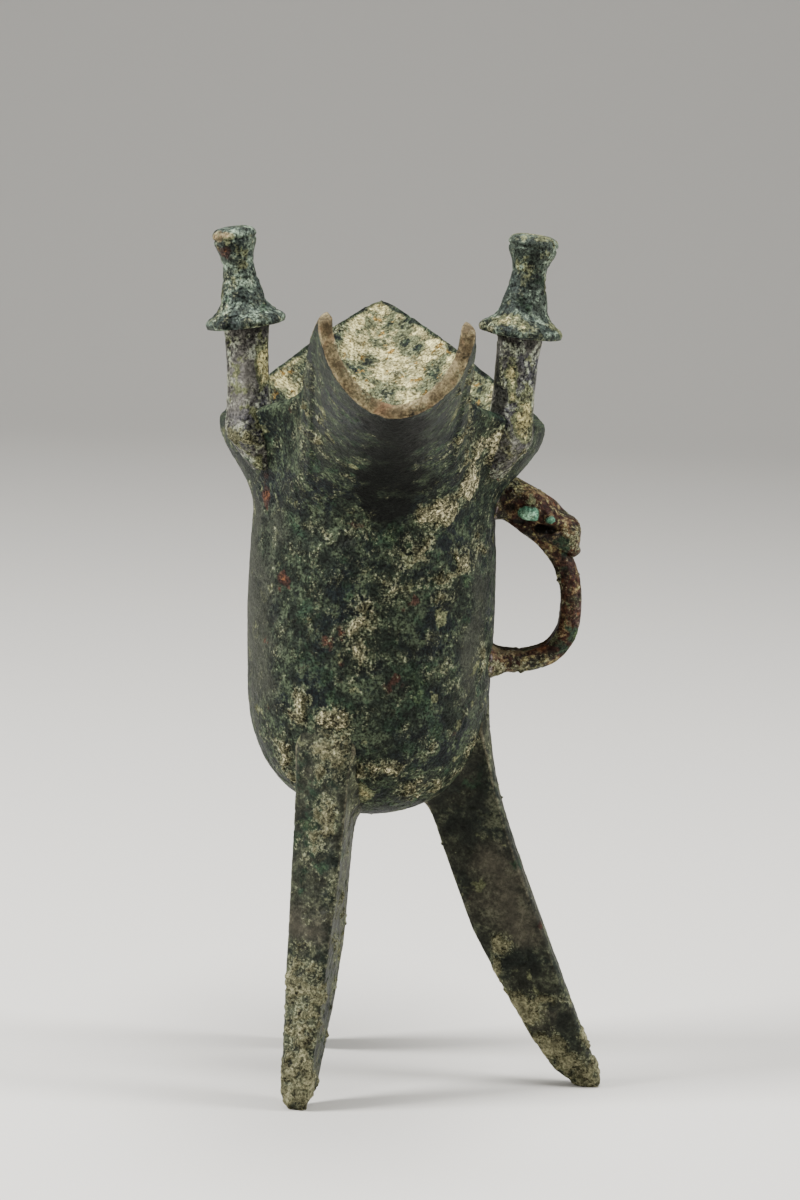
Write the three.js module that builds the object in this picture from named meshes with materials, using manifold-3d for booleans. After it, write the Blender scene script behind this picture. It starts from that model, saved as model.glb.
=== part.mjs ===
// A bronze jue: a three-legged wine vessel with a spout, a tail, two capped posts and a handle.
// Millimetres, +Z up. The cup's axis is X = 0, Y = 0, the spout points to -Y, the tail to +Y
// and the handle to +X. The finished group is moved so that its base centre is at the origin.

import * as THREE from "three";
import { mergeVertices } from "three/addons/utils/BufferGeometryUtils.js";
import Module from "manifold-3d";

const wasm = await Module();
wasm.setup();

// Driving dimensions
const gap = 0.3;

const cup = {
  bottom: 62.9,
  bowlDepth: 32.1,
  bowlRadius: 27.7,
  bowlExponent: 2.35,
  bellyRise: 18,
  bellyRadius: 28.2,
  waistRise: 18,
  waistRadius: 27.5,
  waistLiftEnds: 13,
  waistLiftSides: 8.5,
  wall: 2.4,
  floor: 3.0,
};

const rim = {
  lipHalfWidth: 16.4,
  lipBottomRise: 10.5,
  lipTopRise: 30,
  lipBottomReach: 83.6,
  lipTopReach: 86,
  lipExponent: 1.8,
  lipTiltBottom: 24,
  lipTiltTop: 25,
  lipStretchBottom: 29,
  lipStretchTop: 26,
  edgeWall: 3.1,
  crown: 0.5,
  sideFlare: 36.9,
  sideRise: 20.9,
  sideY: 2,
  tailReach: 76,
  tailRise: 19.1,
  lean: 1.1,
  spoutTurn: 2.8,
  spoutTwist: 0.65,
  turnStart: 18,
};

// Heights from the surface that the vessel stands on, each level set on the one below
const bowlTop = cup.bottom + cup.bowlDepth;
const bellyHeight = bowlTop + cup.bellyRise;
const waistHeight = bellyHeight + cup.waistRise;
const sideHeight = waistHeight + rim.sideRise;
const lipBottom = sideHeight + rim.lipBottomRise;
const lipTop = sideHeight + rim.lipTopRise;
const tailTop = sideHeight + rim.tailRise;

// The rim between the spout's tip and the cup's side, and from there to the tail's tip: shares of the
// way along, of the way out to the side's flare and of the way up from the side's height
const spoutEdge = [
  { along: 0.864, out: 0.049, up: 0.857 },
  { along: 0.693, out: 0.073, up: 0.65 },
  { along: 0.534, out: 0.073, up: 0.467 },
  { along: 0.409, out: 0.107, up: 0.317 },
  { along: 0.307, out: 0.293, up: 0.2 },
  { along: 0.222, out: 0.595, up: 0.113 },
  { along: 0.125, out: 0.873, up: 0.04 },
];
const tailEdge = [
  { along: 0.162, out: 0.973, up: 0.031 },
  { along: 0.331, out: 0.846, up: 0.162 },
  { along: 0.507, out: 0.659, up: 0.372 },
  { along: 0.686, out: 0.466, up: 0.597 },
  { along: 0.857, out: 0.26, up: 0.812 },
  { along: 0.976, out: 0.076, up: 0.974 },
];

// How the wall arrives at the rim: the last stretch's length each way, at shares of the spout's reach
// (below zero) and of the tail's reach
const arrivalKnots = [
  { run: -1, across: 0, onward: -23.6, upward: 11 },
  { run: -0.837, across: 0.3, onward: -15, upward: 9.5 },
  { run: -0.651, across: 0.3, onward: -10, upward: 9 },
  { run: -0.465, across: 0.3, onward: -5.5, upward: 8.5 },
  { run: -0.291, across: 1.2, onward: -2, upward: 7.6 },
  { run: -0.116, across: 0.2, onward: -0.6, upward: 7 },
  { run: 0.053, across: -0.5, onward: 0.4, upward: 6.8 },
  { run: 0.263, across: 1.4, onward: 2.2, upward: 6.6 },
  { run: 0.5, across: 4, onward: 5.5, upward: 7.5 },
  { run: 0.737, across: 4, onward: 10, upward: 9.8 },
  { run: 0.921, across: 2, onward: 15, upward: 12.5 },
  { run: 1, across: 0, onward: 17.3, upward: 13.5 },
];

// Where the cup ends and the spout and tail begin, out from the waist and up from it
const castLine = { spoutOut: 2.5, spoutUp: 6, tailOut: 3.1, tailUp: 8 };

// The posts stand this far in from the rim's widest reach
const post = {
  y: -14,
  sunk: 4.5,
  rise: 22.7,
  spareTop: 1.5,
  halfWidth: 4.9,
  halfDepth: 4.8,
};

const posts = {
  left: { side: -1, footInset: 8.7, topInset: 7, capTilt: 9.2 },
  right: { side: 1, footInset: 7.7, topInset: 5.7, capTilt: 6.2 },
};

const caps = {
  left: { flange: 8.95, neck: 3.55, crown: 4.95, height: 22.6 },
  right: { flange: 9.4, neck: 3.95, crown: 5.6, height: 22.9 },
};

const handle = {
  strapWidth: 8.6,
  strapThickness: 4.7,
  mouthRadius: 1.1,
};

// The strap's middle line and the head's, out from the cup's waist and up from its belly
const strapPath = [
  { out: -2.5, rise: 23.6 }, { out: 2.5, rise: 21.2 }, { out: 7.1, rise: 17.8 }, { out: 11.5, rise: 14.6 },
  { out: 15.2, rise: 10 }, { out: 17.4, rise: 4.4 }, { out: 17.9, rise: -1.4 }, { out: 17, rise: -7.2 },
  { out: 13.7, rise: -11.7 }, { out: 8.7, rise: -13.6 }, { out: 3.5, rise: -14 }, { out: -2.5, rise: -14.2 },
];
const headStations = [
  { out: -2.5, rise: 25.6, thick: 3.2, wide: 4.8 },
  { out: 2.9, rise: 24.4, thick: 3.5, wide: 5.2 },
  { out: 7.1, rise: 22, thick: 4.1, wide: 6.3 },
  { out: 10.9, rise: 18.9, thick: 4.3, wide: 7.0 },
  { out: 14.1, rise: 16.2, thick: 4.0, wide: 6.3 },
  { out: 16.5, rise: 13.8, thick: 3.2, wide: 5.2 },
  { out: 17.9, rise: 11.9, thick: 1.6, wide: 3.8 },
];
const snout = { radius: 2.6, out: 17.4, rise: 15.7, aside: 0, stretch: { x: 0.95, y: 1.6, z: 1.0 } };
const ear = { radius: 2.4, out: 6.8, rise: 22.8, aside: 5.6, stretch: { x: 1.5, y: 0.75, z: 0.8 } };
const eye = { radius: 1.5, out: 12.3, rise: 19, aside: 5.9, stretch: { x: 1.25, y: 0.8, z: 0.9 } };
const mouthPlace = { out: 10.9, rise: 15.9 };
const faceTilt = 40;
const mouthTilt = 32;

const leg = {
  rootRise: 22.1,
  rootChamfer: 2,
  rootInset: 1.5,
  kneeRise: 11.1,
  kneeSoftness: 15,
  outerWidth: 13.2,
  footWidth: 4.2,
  depth: 16.8,
  footDepth: 5.6,
  taperTop: 36,
  broadTop: 68,
  toeRound: 1.5,
  toeHeight: 4,
};

// The handle-side leg reaches out further than the two legs on the plain side
const legs = {
  leg_handle: { azimuth: 0, footReach: 57.4, aside: -0.6 },
  leg_front: { azimuth: 242, footReach: 35.6, aside: 3.1 },
  leg_back: { azimuth: 118, footReach: 35.6, aside: -3.1 },
};

// How many facets run round the lip and along the edge, and up the bowl, the wall and the flare
const columns = { lip: 8, edge: 27 };
const rows = { bowl: 7, wall: 3, upper: 10 };

const vec = (x, y, z) => new THREE.Vector3(x, y, z);
const radians = THREE.MathUtils.degToRad;

// Solids

// A closed body from rings of points. Each ring has the same count, and the ends are closed by a
// point when the first or last entry is a single point, or else by a flat fan.
function ringBody(rings) {
  const positions = [];
  const index = [];
  const starts = rings.map((ring) => {
    const start = positions.length / 3;
    ring.forEach((p) => positions.push(p.x, p.y, p.z));
    return start;
  });
  for (let r = 0; r < rings.length - 1; r += 1) {
    const below = rings[r];
    const above = rings[r + 1];
    const count = Math.max(below.length, above.length);
    for (let i = 0; i < count; i += 1) {
      const next = (i + 1) % count;
      const a = starts[r] + (below.length === 1 ? 0 : i);
      const b = starts[r] + (below.length === 1 ? 0 : next);
      const c = starts[r + 1] + (above.length === 1 ? 0 : next);
      const d = starts[r + 1] + (above.length === 1 ? 0 : i);
      if (a !== b) index.push(a, b, c);
      if (c !== d) index.push(a, c, d);
    }
  }
  const capEnd = (ring, start, flip) => {
    for (let i = 1; i < ring.length - 1; i += 1) {
      if (flip) index.push(start, start + i + 1, start + i);
      else index.push(start, start + i, start + i + 1);
    }
  };
  const last = rings.length - 1;
  if (rings[0].length > 1) capEnd(rings[0], starts[0], true);
  if (rings[last].length > 1) capEnd(rings[last], starts[last], false);
  const geometry = new THREE.BufferGeometry();
  geometry.setAttribute("position", new THREE.Float32BufferAttribute(positions, 3));
  geometry.setIndex(index);
  return geometry;
}

function toSolid(geometry) {
  const bare = geometry.clone();
  bare.deleteAttribute("normal");
  bare.deleteAttribute("uv");
  const merged = mergeVertices(bare, 1e-4);
  const mesh = new wasm.Mesh({
    numProp: 3,
    vertProperties: new Float32Array(merged.attributes.position.array),
    triVerts: new Uint32Array(merged.index.array),
  });
  return new wasm.Manifold(mesh);
}

function toGeometry(solid) {
  const mesh = solid.getMesh();
  const geometry = new THREE.BufferGeometry();
  geometry.setAttribute("position", new THREE.Float32BufferAttribute(mesh.vertProperties, 3));
  geometry.setIndex(new THREE.Uint32BufferAttribute(mesh.triVerts, 1));
  geometry.computeVertexNormals();
  return geometry;
}

// A half space as a large block: everything on the side that the normal points to
function halfSpace(point, normal) {
  const size = 400;
  const block = new THREE.BoxGeometry(size, size, size);
  block.translate(0, 0, size / 2);
  const turn = new THREE.Quaternion().setFromUnitVectors(vec(0, 0, 1), normal.clone().normalize());
  block.applyQuaternion(turn);
  block.translate(point.x, point.y, point.z);
  return toSolid(block);
}

// Vessel wall

// The lower cup: a superellipse bowl, then a gently bellied wall up to the waist
const wallCurve = new THREE.SplineCurve([
  new THREE.Vector2(cup.bowlRadius, bowlTop),
  new THREE.Vector2(cup.bellyRadius, bellyHeight),
  new THREE.Vector2(cup.waistRadius, waistHeight),
]);

function bowlPoint(share) {
  const angle = (share * Math.PI) / 2;
  const power = 2 / cup.bowlExponent;
  const radius = cup.bowlRadius * Math.sin(angle) ** power;
  const height = bowlTop - (bowlTop - cup.bottom) * Math.cos(angle) ** power;
  return new THREE.Vector2(radius, height);
}

// The pouring end of the spout is a superellipse U, from the middle of its underside to its tip
function lipPoint(share) {
  const angle = (share * Math.PI) / 2;
  const power = 2 / rim.lipExponent;
  const across = Math.sin(angle) ** power;
  const rise = 1 - Math.max(Math.cos(angle), 0) ** power;
  return vec(
    rim.lipHalfWidth * across,
    -THREE.MathUtils.lerp(rim.lipBottomReach, rim.lipTopReach, rise),
    THREE.MathUtils.lerp(lipBottom, lipTop, rise),
  );
}

// The rim from the spout's tip, back along the spout, round the cup's side and out to the tail
function edgePoint(half, reach, top) {
  return ({ along, out, up }) => vec(
    THREE.MathUtils.lerp(half, rim.sideFlare, out),
    THREE.MathUtils.lerp(rim.sideY, reach, along),
    THREE.MathUtils.lerp(sideHeight, top, up),
  );
}

const edgeCurve = new THREE.CatmullRomCurve3(
  [
    lipPoint(1),
    ...spoutEdge.map(edgePoint(rim.lipHalfWidth, -rim.lipTopReach, lipTop)),
    vec(rim.sideFlare, rim.sideY, sideHeight),
    ...tailEdge.map(edgePoint(0, rim.tailReach, tailTop)),
    vec(0, rim.tailReach, tailTop),
  ],
  false,
  "centripetal",
);

// Where each rim point's wall starts on the waist circle: degrees round from the front
const startAngle = new THREE.CatmullRomCurve3(
  [
    vec(0, 30, 0), vec(0.07, 35, 0), vec(0.16, 41, 0), vec(0.24, 47, 0), vec(0.3, 54, 0),
    vec(0.36, 63, 0), vec(0.42, 73, 0), vec(0.48, 84, 0), vec(0.55, 95, 0), vec(0.62, 107, 0),
    vec(0.7, 122, 0), vec(0.79, 137, 0), vec(0.87, 151, 0), vec(0.95, 168, 0), vec(1, 180, 0),
  ],
  false,
  "centripetal",
);

// At the pouring end the wall arrives straight, from a little below
function arrivalAtLip(share) {
  const tilt = radians(THREE.MathUtils.lerp(rim.lipTiltBottom, rim.lipTiltTop, share));
  const length = THREE.MathUtils.lerp(rim.lipStretchBottom, rim.lipStretchTop, share);
  return vec(0, -Math.cos(tilt), Math.sin(tilt)).multiplyScalar(length);
}

function arrivalAtEdge(y) {
  const run = y / (y < 0 ? rim.lipTopReach : rim.tailReach);
  const found = arrivalKnots.findIndex((knot) => knot.run >= run);
  const after = found < 0 ? arrivalKnots.length - 1 : Math.max(found, 1);
  const low = arrivalKnots[after - 1];
  const high = arrivalKnots[after];
  const share = THREE.MathUtils.smoothstep(run, low.run, high.run);
  const stretch = ({ across, onward, upward }) => vec(across, onward, upward);
  return stretch(low).lerp(stretch(high), share);
}

// One column on the +X side: the waist angle, the rim point and the arrival there
function halfColumns() {
  const list = [];
  for (let i = 0; i < columns.lip; i += 1) {
    const share = i / columns.lip;
    list.push({ angle: 30 * share, end: lipPoint(share), arrival: arrivalAtLip(share) });
  }
  for (let i = 0; i <= columns.edge; i += 1) {
    const share = i / columns.edge;
    const end = edgeCurve.getPointAt(share);
    const angle = angleAt(share);
    list.push({ angle, end, arrival: arrivalAtEdge(end.y) });
  }
  return list;
}

function angleAt(share) {
  const points = startAngle.points;
  const after = Math.max(1, points.findIndex((p) => p.x >= share - 1e-9));
  const low = points[after - 1];
  const high = points[after];
  return THREE.MathUtils.lerp(low.y, high.y, (share - low.x) / (high.x - low.x));
}

function waistLift(angle) {
  const side = Math.sin(radians(angle));
  return THREE.MathUtils.lerp(cup.waistLiftEnds, cup.waistLiftSides, side * side);
}

// The upper wall leaves the waist straight up and arrives at the rim along its own direction
function upperPoint(column, share) {
  const angle = radians(column.angle);
  const start = vec(cup.waistRadius * Math.sin(angle), -cup.waistRadius * Math.cos(angle), waistHeight);
  const lifted = start.clone().setZ(waistHeight + waistLift(column.angle));
  const before = column.end.clone().sub(column.arrival);
  return new THREE.CubicBezierCurve3(start, lifted, before, column.end).getPoint(share);
}

function mirrored(list) {
  const right = list.map((column) => ({ ...column, side: 1 }));
  const left = list.slice(1, -1).reverse().map((column) => ({ ...column, side: -1 }));
  return [...right, ...left];
}

const wallColumns = mirrored(halfColumns());

function outerRings() {
  const rings = [[vec(0, 0, cup.bottom)]];
  const roundRing = (radius, height) =>
    wallColumns.map(({ angle, side }) =>
      vec(side * radius * Math.sin(radians(angle)), -radius * Math.cos(radians(angle)), height));
  for (let i = 1; i <= rows.bowl; i += 1) {
    const p = bowlPoint(i / rows.bowl);
    rings.push(roundRing(p.x, p.y));
  }
  for (let i = 1; i < rows.wall; i += 1) {
    const p = wallCurve.getPoint(i / rows.wall);
    rings.push(roundRing(p.x, p.y));
  }
  for (let i = 0; i <= rows.upper; i += 1) {
    rings.push(wallColumns.map((column) => {
      const p = upperPoint(column, i / rows.upper);
      p.x *= column.side;
      return p;
    }));
  }
  return rings;
}

// Outward normals of the ring grid, from each point's neighbours
function gridNormals(rings) {
  return rings.map((ring, r) => {
    if (ring.length === 1) return [vec(0, 0, -1)];
    const below = rings[Math.max(r - 1, 0)];
    const above = rings[Math.min(r + 1, rings.length - 1)];
    return ring.map((p, i) => {
      const count = ring.length;
      const along = ring[(i + 1) % count].clone().sub(ring[(i + count - 1) % count]);
      const low = below.length === 1 ? below[0] : below[i];
      const high = above.length === 1 ? above[0] : above[i];
      return along.cross(high.clone().sub(low)).normalize();
    });
  });
}

// As on the real casting, the rim sits a little towards the handle, the spout turns that way and
// twists, and the tail turns a little the other way
function settle(p) {
  const height = THREE.MathUtils.smoothstep(p.z, waistHeight, sideHeight);
  const back = THREE.MathUtils.clamp((p.y - rim.turnStart) / (rim.tailReach - rim.turnStart), 0, 1);
  const run = Math.max(0, -p.y - rim.turnStart) / (rim.lipTopReach - rim.turnStart);
  const across = p.x / rim.lipHalfWidth;
  const x = p.x + rim.lean * height * (1 - 1.5 * back) + rim.spoutTurn * run ** 1.3;
  return vec(x, p.y, p.z - rim.spoutTwist * run * across);
}

// The whole hollow wall as one closed body, grown on every face by the given amount
function vesselWall(grow) {
  const outer = outerRings();
  const normals = gridNormals(outer);
  const last = outer.length - 1;
  const shift = (distance) => (ring, r) =>
    ring.map((p, i) => {
      const move = normals[r][i].clone().multiplyScalar(distance(r));
      const limit = 0.62 * Math.abs(p.x);
      move.x = THREE.MathUtils.clamp(move.x, -limit, limit);
      return p.clone().add(move);
    });
  const firstUpper = last - rows.upper;
  const depth = (r) => {
    if (r === 0) return cup.floor;
    const share = THREE.MathUtils.clamp((r - firstUpper) / rows.upper, 0, 1);
    return THREE.MathUtils.lerp(cup.wall, rim.edgeWall, share ** 1.5);
  };
  const outside = outer.map(shift(() => grow));
  const inside = outer.map(shift((r) => -(depth(r) + grow)));
  const middle = outer.map(shift((r) => -depth(r) / 2))[last];
  const crown = middle.map((p, i) => {
    const column = wallColumns[i];
    const lip = Math.abs(column.angle) < 30;
    const out = lip ? column.arrival.clone() : vec(0, 0, 1);
    out.normalize().multiplyScalar(rim.crown + grow);
    return p.clone().add(out);
  });
  const rings = [...outside, crown, ...inside.reverse()];
  return toSolid(ringBody(rings.map((ring) => ring.map(settle))));
}

// The cup as a full round solid, used to fit the legs and the handle against it
function cupBlock(grow) {
  const side = wallColumns.find(({ angle }) => angle >= 90);
  const profile = [new THREE.Vector2(0, cup.bottom - grow)];
  for (let i = 1; i <= 12; i += 1) profile.push(bowlPoint(i / 12));
  for (let i = 1; i <= 4; i += 1) profile.push(wallCurve.getPoint(i / 4));
  for (let i = 1; i <= 6; i += 1) {
    const p = upperPoint(side, i / 8);
    profile.push(new THREE.Vector2(Math.hypot(p.x, p.y), p.z));
  }
  const grown = profile.map((p, i) => {
    if (i === 0) return p;
    const before = profile[i - 1];
    const after = profile[Math.min(i + 1, profile.length - 1)];
    const along = after.clone().sub(before).normalize();
    return new THREE.Vector2(p.x + along.y * grow, p.y - along.x * grow);
  });
  grown.push(new THREE.Vector2(0, grown[grown.length - 1].y));
  const block = new THREE.LatheGeometry(grown, 72);
  block.rotateX(Math.PI / 2);
  const places = block.getAttribute("position");
  for (let i = 0; i < places.count; i += 1) {
    const p = settle(new THREE.Vector3().fromBufferAttribute(places, i));
    places.setXYZ(i, p.x, p.y, p.z);
  }
  return toSolid(block);
}

const wall = vesselWall(0);
const wallGrown = vesselWall(gap);
const cupGrown = cupBlock(gap);

// The casting lines: a leaning plane in front of the posts and one behind the cup
const spoutPlane = {
  point: vec(0, -(cup.waistRadius + castLine.spoutOut), waistHeight + castLine.spoutUp),
  normal: vec(0, -23, 10).normalize(),
};
const tailPlane = {
  point: vec(0, cup.waistRadius + castLine.tailOut, waistHeight + castLine.tailUp),
  normal: vec(0, 20, 12).normalize(),
};

function cutPlane(plane, offset) {
  return halfSpace(plane.point.clone().addScaledVector(plane.normal, offset), plane.normal);
}

function cupBody() {
  const noSpout = wall.subtract(cutPlane(spoutPlane, -gap / 2));
  return noSpout.subtract(cutPlane(tailPlane, -gap / 2));
}

function spoutPiece() {
  return wall.intersect(cutPlane(spoutPlane, gap / 2));
}

function tailPiece() {
  return wall.intersect(cutPlane(tailPlane, gap / 2));
}

// Posts and caps

// A rounded three-sided section with its sharp edge to the front, which reads as two faces
function postSection(scale) {
  const corners = [
    [0.08, -1], [0.55, -0.72], [0.96, -0.2], [1, 0.35], [0.7, 0.88], [0.2, 1],
    [-0.3, 1], [-0.8, 0.8], [-1, 0.3], [-0.96, -0.25], [-0.55, -0.76],
  ];
  return corners.map(([x, y]) => [x * post.halfWidth * scale, y * post.halfDepth * scale]);
}

// The cap stands on the post's top, square to its own tilted axis
function capSeat({ side, topInset, capTilt }) {
  const tilt = radians(side * capTilt);
  return {
    point: vec(side * (rim.sideFlare - topInset), post.y, sideHeight + post.rise),
    normal: vec(Math.sin(tilt), 0, Math.cos(tilt)),
  };
}

function postPiece(spec) {
  const { side, footInset, topInset } = spec;
  const foot = sideHeight - post.sunk;
  const top = sideHeight + post.rise + post.spareTop;
  const stations = [
    { share: 0, scale: 0.78 }, { share: 0.1, scale: 0.98 }, { share: 0.2, scale: 1.06 },
    { share: 0.34, scale: 1 }, { share: 0.65, scale: 0.97 }, { share: 0.86, scale: 0.99 },
    { share: 1, scale: 1.06 },
  ];
  const rings = stations.map(({ share, scale }) => {
    const x = side * (rim.sideFlare - THREE.MathUtils.lerp(footInset, topInset, share));
    const z = THREE.MathUtils.lerp(foot, top, share);
    return postSection(scale).map(([dx, dy]) => vec(x + dx, post.y + dy, z));
  });
  return toSolid(ringBody(rings)).subtract(wallGrown).subtract(cutPlane(capSeat(spec), -gap));
}

// The cap's outline: a flange with a thin edge, a concave trumpet and a domed knob
function capOutline({ flange, neck, crown, height }) {
  const body = new THREE.SplineCurve([
    new THREE.Vector2(flange, 0.057 * height),
    new THREE.Vector2(flange - 0.9, 0.11 * height),
    new THREE.Vector2(flange * 0.64, 0.198 * height),
    new THREE.Vector2(neck + 1, 0.352 * height),
    new THREE.Vector2(neck, 0.571 * height),
    new THREE.Vector2(neck + 0.25, 0.703 * height),
    new THREE.Vector2(crown - 0.25, 0.826 * height),
    new THREE.Vector2(crown, height - 2.1),
    new THREE.Vector2(crown - 0.7, height - 0.9),
  ]);
  const points = [new THREE.Vector2(0, 0), new THREE.Vector2(flange - 1, 0)];
  points.push(new THREE.Vector2(flange - 0.2, 0.5), ...body.getSpacedPoints(14));
  points.push(new THREE.Vector2(crown * 0.5, height - 0.2), new THREE.Vector2(0, height));
  return points;
}

function capPiece(outline, seat) {
  const cap = new THREE.LatheGeometry(capOutline(outline), 22);
  cap.rotateX(Math.PI / 2);
  cap.rotateY(radians(seat.side * seat.capTilt));
  const { point } = capSeat(seat);
  cap.translate(point.x, point.y, point.z);
  return toSolid(cap);
}

// Handle

// A place on the handle, out from the cup's waist and up from its belly
function handlePlace({ out, rise, aside = 0 }) {
  return vec(cup.waistRadius + out, aside, bellyHeight + rise);
}

// The strap's middle line, from the cup's neck under the head and round to the belly
const strapLine = new THREE.CatmullRomCurve3(strapPath.map(handlePlace), false, "centripetal");

function strapSection(width, thickness) {
  const x = width / 2;
  const y = thickness / 2;
  return [
    [-x, -0.4 * y], [-0.72 * x, -y], [0.72 * x, -y], [x, -0.4 * y],
    [x, 0.35 * y], [0.66 * x, y], [0, 1.08 * y], [-0.66 * x, y], [-x, 0.35 * y],
  ];
}

function strapBody(grow) {
  const steps = 30;
  const rings = [];
  for (let i = 0; i <= steps; i += 1) {
    const share = i / steps;
    const centre = strapLine.getPointAt(share);
    const along = strapLine.getTangentAt(share);
    const out = vec(-along.z, 0, along.x);
    const spread = 1 + 0.35 * THREE.MathUtils.smoothstep(share, 0.82, 1);
    const section = strapSection(handle.strapWidth * spread + 2 * grow, handle.strapThickness + 2 * grow);
    rings.push(section.map(([dy, dn]) => centre.clone().add(vec(0, dy, 0)).addScaledVector(out, dn)));
  }
  return toSolid(ringBody(rings));
}

function handleLoop() {
  return strapBody(0).subtract(cupGrown);
}

// The head: a low skull on the strap, with ears, eyes and a muzzle that curls up at the end
function headSkull() {
  const line = new THREE.CatmullRomCurve3(headStations.map(handlePlace), false, "centripetal");
  const size = new THREE.SplineCurve(headStations.map(({ thick, wide }) => new THREE.Vector2(thick, wide)));
  const steps = 12;
  const sides = 14;
  const rings = [];
  for (let i = 0; i <= steps; i += 1) {
    const share = i / steps;
    const centre = line.getPoint(share);
    const along = line.getTangent(share);
    const out = vec(-along.z, 0, along.x);
    const half = size.getPoint(share);
    const ring = [];
    for (let k = 0; k < sides; k += 1) {
      const angle = (2 * Math.PI * k) / sides;
      const across = Math.cos(angle);
      const up = Math.sin(angle);
      ring.push(centre.clone()
        .add(vec(0, -half.y * Math.sign(across) * Math.abs(across) ** 0.8, 0))
        .addScaledVector(out, -half.x * Math.sign(up) * Math.abs(up) ** 0.8));
    }
    rings.push(ring);
  }
  return toSolid(ringBody(rings));
}

function knob({ radius, out, rise, aside, stretch }, side = 1) {
  const place = handlePlace({ out, rise, aside: side * aside });
  const shape = new THREE.SphereGeometry(radius, 12, 8);
  shape.scale(stretch.x, stretch.y, stretch.z);
  shape.rotateY(radians(faceTilt));
  shape.translate(place.x, place.y, place.z);
  return toSolid(shape);
}

function handleHead() {
  let head = headSkull();
  head = head.add(knob(snout));
  for (const side of [-1, 1]) head = head.add(knob(ear, side)).add(knob(eye, side));
  const mouth = new THREE.CylinderGeometry(handle.mouthRadius, handle.mouthRadius, 3 * handle.strapWidth, 8);
  const place = handlePlace(mouthPlace);
  mouth.scale(2.2, 1, 1);
  mouth.rotateY(radians(mouthTilt));
  mouth.translate(place.x, place.y, place.z);
  const strap = strapBody(gap);
  return head.subtract(strap).subtract(toSolid(mouth)).subtract(cupGrown);
}

// Legs

// A three-sided blade: a broad outer face, and two sides that meet in a ridge towards the axis
function legSection(outer, inner, width, shift) {
  const half = width / 2;
  const edge = 0.9;
  const ridge = Math.min(1.2, 0.35 * (outer - inner));
  return [
    [outer, shift - half + edge],
    [outer + 0.25, shift],
    [outer, shift + half - edge],
    [outer - edge, shift + half],
    [inner + ridge, shift + ridge],
    [inner, shift + 0.35 * ridge],
    [inner, shift - 0.35 * ridge],
    [inner + ridge, shift - ridge],
    [outer - edge, shift - half],
  ];
}

// The outer edge leaves the bowl upright, bends at the knee and runs out straight to the foot
function legOuter(z, footReach) {
  const kneeHeight = cup.bottom + leg.kneeRise;
  const ramp = (drop) => (drop + Math.hypot(drop, leg.kneeSoftness)) / 2;
  const share = ramp(kneeHeight - z) / ramp(kneeHeight);
  const rootReach = cup.bowlRadius - leg.rootInset;
  return rootReach + (footReach - rootReach) * share;
}

function legPiece({ azimuth, footReach, aside }) {
  const stations = [0, 0.014, 0.041, 0.082, 0.141, 0.212, 0.306, 0.424, 0.541, 0.659, 0.776, 0.871, 0.941, 1];
  const rings = stations.map((share) => {
    const z = share * (cup.bottom + leg.rootRise);
    const toe = leg.toeRound * Math.max(0, 1 - z / leg.toeHeight) ** 2;
    const dive = share === 1 ? leg.rootChamfer : 0;
    const outer = legOuter(z, footReach) - toe - dive;
    const thick = THREE.MathUtils.lerp(leg.footDepth, leg.depth, Math.min(1, z / leg.taperTop) ** 0.45);
    const width = THREE.MathUtils.lerp(leg.footWidth, leg.outerWidth, Math.min(1, z / leg.broadTop) ** 0.5);
    return legSection(outer, outer + toe - thick, width, aside).map(([x, y]) => vec(x, y, z));
  });
  const shape = ringBody(rings);
  shape.rotateZ(radians(azimuth));
  return toSolid(shape).subtract(cupGrown);
}

// Assembly

const finishes = {
  cup: { color: 0x4a5748, roughness: 0.74, metalness: 0.45 },
  spout: { color: 0x46524a, roughness: 0.7, metalness: 0.45 },
  tail: { color: 0x7d8466, roughness: 0.82, metalness: 0.3 },
  post: { color: 0x757468, roughness: 0.72, metalness: 0.4 },
  cap: { color: 0x6f7763, roughness: 0.76, metalness: 0.4 },
  handle: { color: 0x5a4a36, roughness: 0.72, metalness: 0.45 },
  leg: { color: 0x5b5a4c, roughness: 0.72, metalness: 0.45 },
};

function namedMesh(name, solid, finish) {
  const mesh = new THREE.Mesh(toGeometry(solid), new THREE.MeshStandardMaterial(finishes[finish]));
  mesh.name = name;
  return mesh;
}

const vessel = new THREE.Group();
vessel.add(namedMesh("cup_body", cupBody(), "cup"));
vessel.add(namedMesh("spout", spoutPiece(), "spout"));
vessel.add(namedMesh("tail", tailPiece(), "tail"));
for (const [name, spec] of Object.entries(posts)) {
  vessel.add(namedMesh(`post_${name}`, postPiece(spec), "post"));
  vessel.add(namedMesh(`cap_${name}`, capPiece(caps[name], spec), "cap"));
}
vessel.add(namedMesh("handle_loop", handleLoop(), "handle"));
vessel.add(namedMesh("handle_head", handleHead(), "handle"));
for (const [name, spec] of Object.entries(legs)) {
  vessel.add(namedMesh(name, legPiece(spec), "leg"));
}

// The row's origin is the middle of the box that the vessel fills, on the surface it stands on
const box = new THREE.Box3().setFromObject(vessel);
const middle = box.getCenter(new THREE.Vector3());
vessel.position.set(-middle.x, -middle.y, -box.min.z);

const part = new THREE.Group();
part.add(vessel);

export default part;
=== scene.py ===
# A bronze jue as it left the ground: green-black patina, earth crust, cuprite spots and worn edges.
# Sums are in millimetres from the cup's own axis. Meshes are in metres, in the frame.

import math
from functools import partial

import bpy
import numpy as np
from mathutils import Matrix, Vector


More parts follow.
